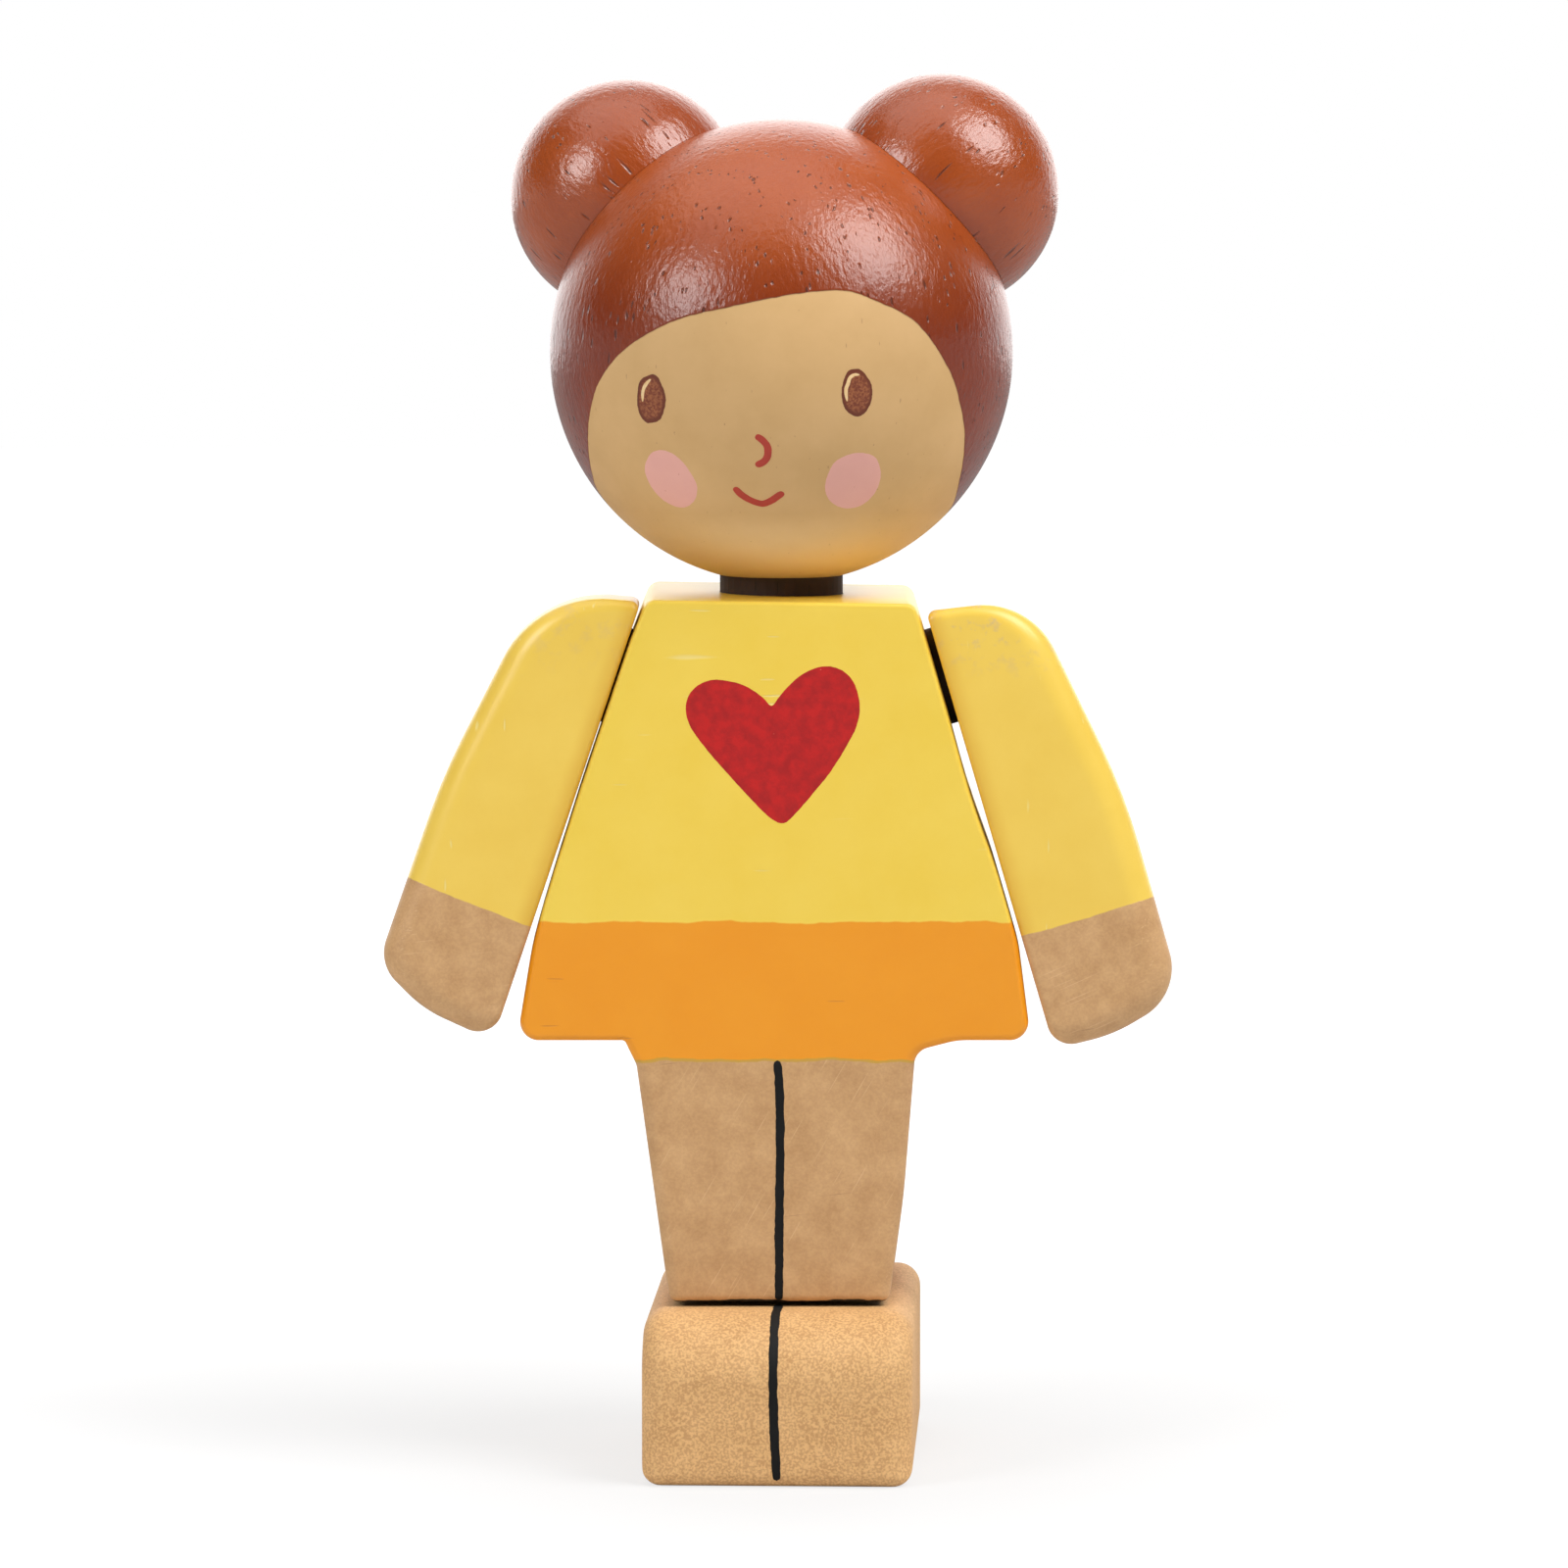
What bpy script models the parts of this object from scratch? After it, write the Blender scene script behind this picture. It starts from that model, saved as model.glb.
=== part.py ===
"""Wooden toy figure with turning head and swinging arms.

A turned ball head with two hair buns sits on a neck dowel in a profile-cut board that is
dress and legs in one. Two shaped arms turn on pegs square to the slanted sides of the dress.
A foot block with a rounded toe is dowelled under the legs.

Front faces -Y, the doll's left is +X, up is +Z. The origin is on the floor under the neck.
Sizes are in millimetres and angles in degrees. Blender gets metres.
"""

import math

import bmesh
import bpy
from mathutils import Matrix, Vector

MM = 0.001

# Fits between pieces
SEAT_GAP = 0.3            # between two glued or resting faces
DOWEL_FIT = 0.05          # radial room of a dowel in its bore
BORE_END_ROOM = 0.3       # a bore is this much deeper than the dowel in it
DOWEL_CHAMFER = 0.4

# Heights
FOOT_HEIGHT = 10.85
BOARD_LENGTH = 45.15      # from the leg end to the top of the dress
LEG_LENGTH = 16.9         # from the leg end to the hem
NECK_CLEARANCE = 0.5      # lowest point of the head above the dress

# Dress and leg board
BOARD_THICKNESS = 20.0
BOARD_EASING = 1.0        # rounding of the front and back rims
LEG_END_EASING = 0.5
DRESS_CORNER_RADIUS = 0.9
HEM_CORNER_RADIUS = 1.15
HEM_REACH_RIGHT = 16.95   # from the neck axis out to the hem's corner
HEM_REACH_LEFT = 16.0
LEG_END_RADIUS = 0.6
LEG_END_REACH_RIGHT = 7.2
LEG_END_REACH_LEFT = 6.95

# The doll's right leg leaves the hem at a crisp corner and a short chamfer
RIGHT_NOTCH_REACH = 10.05
RIGHT_NOTCH_RADIUS = 0.3
RIGHT_CHAMFER_DROP = 1.55
RIGHT_LEG_TOP_REACH = 9.3
RIGHT_LEG_TOP_RADIUS = 1.5

# The doll's left leg leaves the hem in a wide sanded hollow
LEFT_HOLLOW_REACH = 11.3
LEFT_HOLLOW_RADIUS = 5.0
LEFT_HOLLOW_DROP = 0.7
LEFT_LEG_TOP_REACH = 8.6
LEFT_LEG_TOP_RADIUS = 1.2
LEFT_LEG_BEND_HEIGHT = 6.9
LEFT_LEG_BEND_REACH = 7.87
LEFT_LEG_BEND_RADIUS = 40.0

# Slanted sides of the dress: where the arm's plane meets the top, and its slant
TOP_REACH_RIGHT = 8.7
TOP_REACH_LEFT = 8.74
RIGHT_SLANT_ANGLE = 18.7
LEFT_SLANT_ANGLE = 16.4

# How the sanded sides run below the top: drop, distance short of the arm's plane, radius
SIDE_RUN_RIGHT = ((4.9, 0.0, 30.0), (18.4, 0.0, 60.0), (21.9, 0.2, 20.0))
SIDE_RUN_LEFT = ((8.1, 0.2, 60.0), (12.5, 0.3, 40.0), (17.0, 0.0, 25.0), (21.9, 0.0, 9.0))
TOP_SHORT_RIGHT = 0.1
TOP_SHORT_LEFT = 0.2

# Shoulders
SHOULDER_DROP = 5.25       # peg axis below the top of the dress, at the side
PEG_DIAMETER = 6.35
PEG_IN_BOARD = 4.5
PEG_IN_ARM = 3.4
ARM_CLEARANCE_RIGHT = 0.2
ARM_CLEARANCE_LEFT = 0.25

# Arms
ARM_THICKNESS = 11.0
ARM_SET_BACK = 0.3        # the arm's front face behind the dress's
ARM_OUTER_EASING = 1.5
ARM_INNER_EASING = 0.4
ARM_TOP_CORNER_RADIUS = 0.5

# Right arm, measured out from its inner face and up from its peg: reach, height, radius
RIGHT_ARM_TOP = 5.32
RIGHT_ARM_SHOULDER = (6.49, 3.75, 7.5)
RIGHT_ARM_ELBOW = (8.45, -9.38, 40)
RIGHT_ARM_HAND = (8.57, -22.21, 2.6)
RIGHT_ARM_PALM = (4.93, -24.05, 8)
RIGHT_ARM_FINGERTIP = -24.56
RIGHT_ARM_FINGERTIP_RADIUS = 1.7

# Left arm, measured the same way
LEFT_ARM_TOP = 4.62
LEFT_ARM_SHOULDER = (6.61, 3.49, 5.2)
LEFT_ARM_ELBOW = (8.92, -10.26, 40)
LEFT_ARM_HAND = (8.84, -23.74, 3.6)
LEFT_ARM_PALM = (3.95, -25.0, 10)
LEFT_ARM_FINGERTIP = -24.81
LEFT_ARM_FINGERTIP_RADIUS = 1.7

# Head and neck
HEAD_DIAMETER = 30.0
HEAD_TURN_ANGLE = 5.4     # towards the doll's right
NECK_DIAMETER = 8.0
NECK_IN_BOARD = 9.0
NECK_IN_HEAD = 10.0

# Hair buns
BUN_DIAMETER = 15.3
BUN_DISTANCE = 14.93      # from the head's centre to the bun's
RIGHT_BUN_RISE_ANGLE = 41.9
LEFT_BUN_RISE_ANGLE = 43.9
BUN_SWEEP_ANGLE = 20.0    # behind the line through the ears
BUN_DOWEL_DIAMETER = 4.0
BUN_DOWEL_IN_BUN = 5.0
BUN_DOWEL_IN_HEAD = 5.0

# Foot block
FOOT_WIDTH = 17.3
TOE_REACH = 15.2          # in front of the neck axis
HEEL_REACH = 11.0
FOOT_SHIFT = 0.25         # towards the doll's left
FOOT_TURN_ANGLE = 2.2     # towards the doll's right
FOOT_SIDE_EASING = 1.5
FOOT_SOLE_EASING = 1.2
FOOT_TOE_EASING = 1.9
TOE_RADIUS = 4.2
HEEL_RADIUS = 1.6
SOLE_RADIUS = 1.0
FOOT_DOWEL_DIAMETER = 4.0
FOOT_DOWEL_SPACING = 7.0
FOOT_DOWEL_IN_LEG = 7.0
FOOT_DOWEL_IN_FOOT = 6.0

# Fineness of round forms
BALL_SEGMENTS = 48
BUN_SEGMENTS = 36
DOWEL_SEGMENTS = 40
ARC_STEP = 11.0
EASING_STEPS = 4
LEAST_RADIUS = 0.15       # of an outline's corner once the rim's rounding has drawn it in
CUTTER_OVERRUN = 4.0

# Heights and places that follow from the sizes above
LEG_END_Z = FOOT_HEIGHT + SEAT_GAP
HEM_Z = LEG_END_Z + LEG_LENGTH
DRESS_TOP_Z = LEG_END_Z + BOARD_LENGTH
HEAD_RADIUS = HEAD_DIAMETER / 2
BUN_RADIUS = BUN_DIAMETER / 2
HEAD_CENTRE_Z = DRESS_TOP_Z + NECK_CLEARANCE + HEAD_RADIUS
RIGHT, LEFT = -1, 1
QUARTER_TURN, HALF_TURN = 90, 180


def linear_colour(hex_colour):
    """Turn an sRGB hex colour into the linear values that a shader takes."""
    channels = [int(hex_colour[i:i + 2], 16) / 255 for i in (1, 3, 5)]
    linear = [c / 12.92 if c <= 0.04045 else ((c + 0.055) / 1.055) ** 2.4 for c in channels]
    return (*linear, 1.0)


def finish(name, hex_colour, roughness):
    """One wood finish: a plain colour with the gloss of its lacquer."""
    material = bpy.data.materials.new(name)
    material.use_nodes = True
    shader = material.node_tree.nodes["Principled BSDF"]
    shader.inputs["Base Color"].default_value = linear_colour(hex_colour)
    shader.inputs["Roughness"].default_value = roughness
    shader.inputs["Metallic"].default_value = 0.0
    return material


def add_object(name, mesh, material=None, parent=None, place=(0, 0, 0), turn=(0, 0, 0)):
    """Link a mesh as an object, placed in millimetres and degrees under its parent."""
    item = bpy.data.objects.new(name, mesh)
    bpy.context.scene.collection.objects.link(item)
    item.parent = parent
    item.location = Vector(place) * MM
    item.rotation_euler = [math.radians(angle) for angle in turn]
    if material:
        item.data.materials.append(material)
    return item


def add_pivot(name, place, turn):
    """An empty on a joint's axis, which carries the pieces that move about it."""
    pivot = add_object(name, None, place=place, turn=turn)
    return pivot


def mesh_from_rings(name, rings, smooth_angle=35):
    """Skin a stack of closed rings, and close each end with one flat face or a pole."""
    shell = bmesh.new()
    skin = [[shell.verts.new(Vector(point) * MM) for point in ring] for ring in rings]
    for lower, upper in zip(skin, skin[1:]):
        count = max(len(lower), len(upper))
        for i in range(count):
            j = (i + 1) % count
            if len(lower) == 1:
                shell.faces.new((lower[0], upper[j], upper[i]))
            elif len(upper) == 1:
                shell.faces.new((lower[i], lower[j], upper[0]))
            else:
                shell.faces.new((lower[i], lower[j], upper[j], upper[i]))
    for end in (skin[0], skin[-1]):
        if len(end) > 1:
            shell.faces.new(end)
    bmesh.ops.recalc_face_normals(shell, faces=shell.faces)
    mesh = bpy.data.meshes.new(name)
    shell.to_mesh(mesh)
    shell.free()
    mesh.shade_smooth()
    mesh.set_sharp_from_angle(angle=math.radians(smooth_angle))
    return mesh


def turned(name, profile, segments):
    """A lathe-turned solid: (radius, height) pairs, swept about Z. Radius 0 is a pole."""
    rings = []
    for radius, height in profile:
        if radius == 0:
            rings.append([(0, 0, height)])
            continue
        angles = [math.tau * i / segments for i in range(segments)]
        rings.append([(radius * math.cos(a), radius * math.sin(a), height) for a in angles])
    return mesh_from_rings(name, rings)


def ball_arc(radius, start_radius, segments):
    """Profile of a ball from where it leaves a circle near its lower end, up to its top pole."""
    start = -math.acos(start_radius / radius)
    steps = max(3, round(segments / 2 * (math.pi / 2 - start) / math.pi))
    angles = [start + (math.pi / 2 - start) * i / steps for i in range(steps)]
    return [(radius * math.cos(a), radius * math.sin(a)) for a in angles] + [(0, radius)]


def dowel_mesh(name, diameter, low, high):
    """A round dowel from low to high on Z, with chamfered ends."""
    radius = diameter / 2
    tip = radius - DOWEL_CHAMFER
    profile = [(0, low), (tip, low), (radius, low + DOWEL_CHAMFER)]
    profile += [(radius, high - DOWEL_CHAMFER), (tip, high), (0, high)]
    return turned(name, profile, DOWEL_SEGMENTS)


def bore_mesh(name, diameter, low, high):
    """A cutter for the bore of a dowel, wider than it by the fit on every side."""
    radius = diameter / 2 + DOWEL_FIT
    return turned(name, [(0, low), (radius, low), (radius, high), (0, high)], DOWEL_SEGMENTS)


def cut(target, cutter):
    """Take the cutter's shape out of the target."""
    cutter.hide_render = True
    cutter.display_type = "WIRE"
    modifier = target.modifiers.new(cutter.name, "BOOLEAN")
    modifier.operation = "DIFFERENCE"
    modifier.solver = "EXACT"
    modifier.object = cutter


def fitted_corners(corners):
    """Corners as points and radii, with a radius made smaller where its edges are too short."""
    points = [Vector(corner[:2]) for corner in corners]
    radii = [corner[2] for corner in corners]
    count = len(points)
    halves = []
    for i in range(count):
        before = (points[i] - points[i - 1]).normalized()
        after = (points[(i + 1) % count] - points[i]).normalized()
        halves.append(math.atan2(before.cross(after), before.dot(after)) / 2)
    for i in range(count):
        j = (i + 1) % count
        reach = radii[i] * abs(math.tan(halves[i])) + radii[j] * abs(math.tan(halves[j]))
        edge = (points[j] - points[i]).length
        if reach > 0.95 * edge:
            radii[i] *= 0.95 * edge / reach
            radii[j] *= 0.95 * edge / reach
    return points, radii, halves


def outline_ring(corners, easings, round_angle):
    """One ring of an eased board: its outline drawn in as the rim rounds over.

    At 0 degrees the ring is the side wall, at 90 the rim of the flat face. Returns (x, z, easing)
    for each point, the easing being the rim's radius there.
    """
    points, radii, halves = fitted_corners(corners)
    count = len(points)
    share = 1 - math.cos(round_angle)
    lines = []
    for i in range(count):
        along = (points[(i + 1) % count] - points[i]).normalized()
        inward = Vector((-along.y, along.x))
        lines.append((points[i] + inward * easings[i] * share, along))
    ring = []
    for i in range(count):
        start, before = lines[i - 1]
        through, after = lines[i]
        travel = (through - start).cross(after) / before.cross(after)
        corner = start + before * travel
        drawn = (easings[i - 1] + easings[i]) / 2 * share
        radius = radii[i] - drawn if halves[i] > 0 else radii[i] + drawn
        radius = max(radius, LEAST_RADIUS)
        back = radius * abs(math.tan(halves[i]))
        side = Vector((-before.y, before.x)) * math.copysign(1, halves[i])
        centre = corner - before * back + side * radius
        steps = max(1, math.ceil(abs(math.degrees(2 * halves[i])) / ARC_STEP))
        for step in range(steps + 1):
            part = step / steps
            arm = Matrix.Rotation(2 * halves[i] * part, 2) @ (-side * radius)
            easing = easings[i - 1] * (1 - part) + easings[i] * part
            ring.append((centre.x + arm.x, centre.y + arm.y, easing))
    return ring


def eased_board(name, corners, easings, thickness):
    """A board cut to an outline in XZ, thickness along Y, with both rims rounded over.

    corners are (x, z, radius), anticlockwise from the front. easings gives the rim's radius on
    the edge that follows each corner.
    """
    angles = [math.pi / 2 * step / EASING_STEPS for step in range(EASING_STEPS + 1)]
    half = thickness / 2
    rings = []
    for face, order in ((-1, reversed(angles)), (1, angles)):
        for angle in order:
            ring = []
            for x, z, easing in outline_ring(corners, easings, angle):
                depth = half - easing * (1 - math.sin(angle))
                ring.append((x, face * depth, z))
            rings.append(ring)
    return mesh_from_rings(name, rings)


def side_point(side, top_reach, slant, drop, short):
    """A point on a slanted side of the dress, a drop below its top, short of the arm's plane."""
    reach = top_reach + drop * math.tan(math.radians(slant)) - short
    return side * reach, DRESS_TOP_Z - drop


# Empty the scene
for old in list(bpy.data.objects):
    bpy.data.objects.remove(old, do_unlink=True)

# Finishes
hair = finish("chestnut_lacquer", "#98573B", 0.28)
dress = finish("yellow_lacquer", "#EACA52", 0.35)
skin = finish("tan_lacquer", "#C99A6C", 0.4)
dark_dowel = finish("dark_stained_hardwood", "#3A2416", 0.6)
bare_dowel = finish("bare_beech", "#D9B68C", 0.7)

# Dress and leg board: outline down the doll's right side, round the legs, up the left side
right_side = [(*side_point(RIGHT, TOP_REACH_RIGHT, RIGHT_SLANT_ANGLE, drop, short), radius)
              for drop, short, radius in SIDE_RUN_RIGHT]
left_side = [(*side_point(LEFT, TOP_REACH_LEFT, LEFT_SLANT_ANGLE, drop, short), radius)
             for drop, short, radius in reversed(SIDE_RUN_LEFT)]
right_top = side_point(RIGHT, TOP_REACH_RIGHT, RIGHT_SLANT_ANGLE, 0, TOP_SHORT_RIGHT)
left_top = side_point(LEFT, TOP_REACH_LEFT, LEFT_SLANT_ANGLE, 0, TOP_SHORT_LEFT)
board_corners = [
    (*right_top, DRESS_CORNER_RADIUS),
    *right_side,
    (-HEM_REACH_RIGHT, HEM_Z, HEM_CORNER_RADIUS),
    (-RIGHT_NOTCH_REACH, HEM_Z, RIGHT_NOTCH_RADIUS),
    (-RIGHT_LEG_TOP_REACH, HEM_Z - RIGHT_CHAMFER_DROP, RIGHT_LEG_TOP_RADIUS),
    (-LEG_END_REACH_RIGHT, LEG_END_Z, LEG_END_RADIUS),
    (LEG_END_REACH_LEFT, LEG_END_Z, LEG_END_RADIUS),
    (LEFT_LEG_BEND_REACH, LEG_END_Z + LEFT_LEG_BEND_HEIGHT, LEFT_LEG_BEND_RADIUS),
    (LEFT_LEG_TOP_REACH, HEM_Z - LEFT_HOLLOW_DROP, LEFT_LEG_TOP_RADIUS),
    (LEFT_HOLLOW_REACH, HEM_Z, LEFT_HOLLOW_RADIUS),
    (HEM_REACH_LEFT, HEM_Z, HEM_CORNER_RADIUS),
    *left_side,
    (*left_top, DRESS_CORNER_RADIUS),
]
leg_end = board_corners.index((-LEG_END_REACH_RIGHT, LEG_END_Z, LEG_END_RADIUS))
board_easings = [LEG_END_EASING if i == leg_end else BOARD_EASING
                 for i in range(len(board_corners))]
board = add_object("dress_and_leg_block",
                   eased_board("dress_and_leg_block", board_corners, board_easings,
                               BOARD_THICKNESS), dress)

# Head, turned to the doll's right, on a pivot at the neck's axis
head_pivot = add_pivot("head_pivot", (0, 0, DRESS_TOP_Z), (0, 0, -HEAD_TURN_ANGLE))
head_lift = HEAD_CENTRE_Z - DRESS_TOP_Z
neck_bore_radius = NECK_DIAMETER / 2 + DOWEL_FIT
neck_top = NECK_CLEARANCE + NECK_IN_HEAD
bore_roof = neck_top + BORE_END_ROOM - head_lift
head_profile = [(0, bore_roof), (neck_bore_radius, bore_roof)]
head_profile += ball_arc(HEAD_RADIUS, neck_bore_radius, BALL_SEGMENTS)
head = add_object("head_ball", turned("head_ball", head_profile, BALL_SEGMENTS), hair,
                  head_pivot, (0, 0, head_lift))

# Neck dowel, glued in the head, turning in the board
add_object("neck_dowel", dowel_mesh("neck_dowel", NECK_DIAMETER, -NECK_IN_BOARD, neck_top),
           dark_dowel, head_pivot)
neck_bore = bore_mesh("neck_bore_cutter", NECK_DIAMETER, -NECK_IN_BOARD - BORE_END_ROOM,
                      CUTTER_OVERRUN)
cut(board, add_object("neck_bore_cutter", neck_bore, place=(0, 0, DRESS_TOP_Z)))

# Hair buns: the glued flats lie where the two balls would cross
seat = (BUN_DISTANCE ** 2 + HEAD_RADIUS ** 2 - BUN_RADIUS ** 2) / (2 * BUN_DISTANCE)
head_flat = seat - SEAT_GAP / 2
bun_flat = seat + SEAT_GAP / 2
for side, side_name, rise in ((LEFT, "left", LEFT_BUN_RISE_ANGLE), (RIGHT, "right", RIGHT_BUN_RISE_ANGLE)):
    sweep = BUN_SWEEP_ANGLE if side == LEFT else HALF_TURN - BUN_SWEEP_ANGLE
    axis_turn = (0, QUARTER_TURN - rise, sweep)
    # Each bun is turned about its own dowel's axis, measured from the head's centre
    bun_bore_end = bun_flat + BUN_DOWEL_IN_BUN + BORE_END_ROOM
    bore_radius = BUN_DOWEL_DIAMETER / 2 + DOWEL_FIT
    rim = math.sqrt(BUN_RADIUS ** 2 - (BUN_DISTANCE - bun_flat) ** 2)
    arc = [(r, BUN_DISTANCE + h) for r, h in ball_arc(BUN_RADIUS, rim, BUN_SEGMENTS)]
    profile = [(0, bun_bore_end), (bore_radius, bun_bore_end), (bore_radius, bun_flat)] + arc
    add_object(f"{side_name}_bun", turned(f"{side_name}_bun", profile, BUN_SEGMENTS), hair,
               head_pivot, (0, 0, head_lift), axis_turn)
    dowel_low = head_flat - BUN_DOWEL_IN_HEAD
    dowel_high = bun_flat + BUN_DOWEL_IN_BUN
    add_object(f"{side_name}_bun_dowel",
               dowel_mesh(f"{side_name}_bun_dowel", BUN_DOWEL_DIAMETER, dowel_low, dowel_high),
               bare_dowel, head_pivot, (0, 0, head_lift), axis_turn)
    # One stepped cutter faces the head flat and drills its bore
    step_profile = [(0, dowel_low - BORE_END_ROOM), (bore_radius, dowel_low - BORE_END_ROOM)]
    step_profile += [(bore_radius, head_flat), (rim + CUTTER_OVERRUN, head_flat)]
    step_profile += [(rim + CUTTER_OVERRUN, HEAD_RADIUS + CUTTER_OVERRUN)]
    step_profile += [(0, HEAD_RADIUS + CUTTER_OVERRUN)]
    cutter_name = f"{side_name}_bun_seat_cutter"
    cut(head, add_object(cutter_name, turned(cutter_name, step_profile, DOWEL_SEGMENTS),
                         parent=head_pivot, place=(0, 0, head_lift), turn=axis_turn))

# Arms: each hangs on a pivot at its peg, with X out along the peg and Z up along the side
arm_sizes = {
    "right": (RIGHT, TOP_REACH_RIGHT, RIGHT_SLANT_ANGLE, ARM_CLEARANCE_RIGHT, RIGHT_ARM_TOP,
              RIGHT_ARM_SHOULDER, RIGHT_ARM_ELBOW, RIGHT_ARM_HAND, RIGHT_ARM_PALM,
              RIGHT_ARM_FINGERTIP, RIGHT_ARM_FINGERTIP_RADIUS),
    "left": (LEFT, TOP_REACH_LEFT, LEFT_SLANT_ANGLE, ARM_CLEARANCE_LEFT, LEFT_ARM_TOP,
             LEFT_ARM_SHOULDER, LEFT_ARM_ELBOW, LEFT_ARM_HAND, LEFT_ARM_PALM,
             LEFT_ARM_FINGERTIP, LEFT_ARM_FINGERTIP_RADIUS),
}
for side_name, sizes in arm_sizes.items():
    side, reach, slant, clearance, top, shoulder, elbow, hand, palm, tip, tip_radius = sizes
    shoulder_x, shoulder_z = side_point(side, reach, slant, SHOULDER_DROP, 0)
    facing = 0 if side == LEFT else HALF_TURN
    arm_y = ARM_SET_BACK + (ARM_THICKNESS - BOARD_THICKNESS) / 2
    pivot = add_pivot(f"{side_name}_shoulder_pivot", (shoulder_x, arm_y, shoulder_z),
                      (0, -slant, facing))
    outline = [(0, top, ARM_TOP_CORNER_RADIUS), (0, tip, tip_radius), palm, hand, elbow, shoulder]
    outline = [(clearance + out, up, radius) for out, up, radius in outline]
    easings = [ARM_INNER_EASING] + [ARM_OUTER_EASING] * 5
    arm = add_object(f"{side_name}_arm",
                     eased_board(f"{side_name}_arm", outline, easings, ARM_THICKNESS),
                     dress, pivot)
    along_x = (0, QUARTER_TURN, 0)
    peg_end = clearance + PEG_IN_ARM
    peg_name = f"{side_name}_shoulder_peg"
    add_object(peg_name, dowel_mesh(peg_name, PEG_DIAMETER, -PEG_IN_BOARD, peg_end),
               dark_dowel, pivot, turn=along_x)
    arm_bore = bore_mesh(f"{side_name}_arm_bore_cutter", PEG_DIAMETER, -CUTTER_OVERRUN,
                         peg_end + BORE_END_ROOM)
    cut(arm, add_object(f"{side_name}_arm_bore_cutter", arm_bore, parent=pivot, turn=along_x))
    board_bore = bore_mesh(f"{side_name}_shoulder_bore_cutter", PEG_DIAMETER,
                           -PEG_IN_BOARD - BORE_END_ROOM, CUTTER_OVERRUN)
    cut(board, add_object(f"{side_name}_shoulder_bore_cutter", board_bore, parent=pivot,
                          turn=along_x))

# Foot block: a board on its side, outline seen from the doll's left, X towards the toes
foot_corners = [
    (-HEEL_REACH, 0, SOLE_RADIUS),
    (TOE_REACH, 0, SOLE_RADIUS),
    (TOE_REACH, FOOT_HEIGHT, TOE_RADIUS),
    (-HEEL_REACH, FOOT_HEIGHT, HEEL_RADIUS),
]
foot_easings = [FOOT_SOLE_EASING, FOOT_TOE_EASING, FOOT_SIDE_EASING, FOOT_SIDE_EASING]
foot = add_object("foot_block",
                  eased_board("foot_block", foot_corners, foot_easings, FOOT_WIDTH),
                  skin, place=(FOOT_SHIFT, 0, 0), turn=(0, 0, -QUARTER_TURN - FOOT_TURN_ANGLE))

# Foot dowels, one under each leg
for side, side_name in ((LEFT, "left"), (RIGHT, "right")):
    place = (side * FOOT_DOWEL_SPACING / 2, 0, 0)
    low = FOOT_HEIGHT - FOOT_DOWEL_IN_FOOT
    high = LEG_END_Z + FOOT_DOWEL_IN_LEG
    dowel_name = f"{side_name}_foot_dowel"
    add_object(dowel_name, dowel_mesh(dowel_name, FOOT_DOWEL_DIAMETER, low, high),
               bare_dowel, place=place)
    foot_bore = bore_mesh(f"{dowel_name}_bore_cutter", FOOT_DOWEL_DIAMETER,
                          low - BORE_END_ROOM, high + BORE_END_ROOM)
    cutter = add_object(f"{dowel_name}_bore_cutter", foot_bore, place=place)
    cut(foot, cutter)
    cut(board, cutter)
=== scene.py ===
"""A wooden toy figure with two hair buns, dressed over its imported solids, from the legs up to the hair."""
import math

import bmesh
import bpy
import numpy as np
from mathutils import Euler, Matrix, Vector


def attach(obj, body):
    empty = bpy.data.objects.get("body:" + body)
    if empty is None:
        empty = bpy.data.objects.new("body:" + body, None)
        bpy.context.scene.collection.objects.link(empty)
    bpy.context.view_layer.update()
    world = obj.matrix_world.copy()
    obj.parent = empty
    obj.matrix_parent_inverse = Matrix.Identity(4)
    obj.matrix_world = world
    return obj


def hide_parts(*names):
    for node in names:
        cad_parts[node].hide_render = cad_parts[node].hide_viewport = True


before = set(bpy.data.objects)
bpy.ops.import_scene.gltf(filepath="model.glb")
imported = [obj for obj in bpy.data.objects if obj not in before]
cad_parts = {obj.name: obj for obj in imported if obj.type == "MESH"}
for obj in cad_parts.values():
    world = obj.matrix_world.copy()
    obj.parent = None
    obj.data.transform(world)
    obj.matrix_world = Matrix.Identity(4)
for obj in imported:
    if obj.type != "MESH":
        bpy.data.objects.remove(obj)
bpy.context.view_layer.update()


# ---------------------------------------------------------------- Dress and legs
# One hardwood board, 20 mm thick, profile cut to the dress and both legs in a single outline. Its rims
# are rounded over on a router table and sanded, so a few corners came out uneven. It is brushed with
# satin paint in three bands: yellow and orange for the dress, tan for the legs.

MM = 0.001
ARC_STEP = 3        # degrees of a corner's arc between two outline points
RIM_STEPS = 10      # steps of a rounded rim
FLAT_LIP = 0.15     # mm of flat face that is shaded together with its rim
SHARP = math.radians(35)
PAST_MOUTH = 4      # mm that a bore's cutter stands proud of the wood

LEG_END_Z = 11.15
HEM_Z = 28.05
DRESS_TOP_Z = 56.3
BOARD_THICKNESS = 20
RIGHT_TOP, LEFT_TOP = 8.7, 8.74     # where the arms' planes meet the top of the dress
RIGHT_SLANT, LEFT_SLANT = math.radians(18.7), math.radians(16.4)


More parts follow.
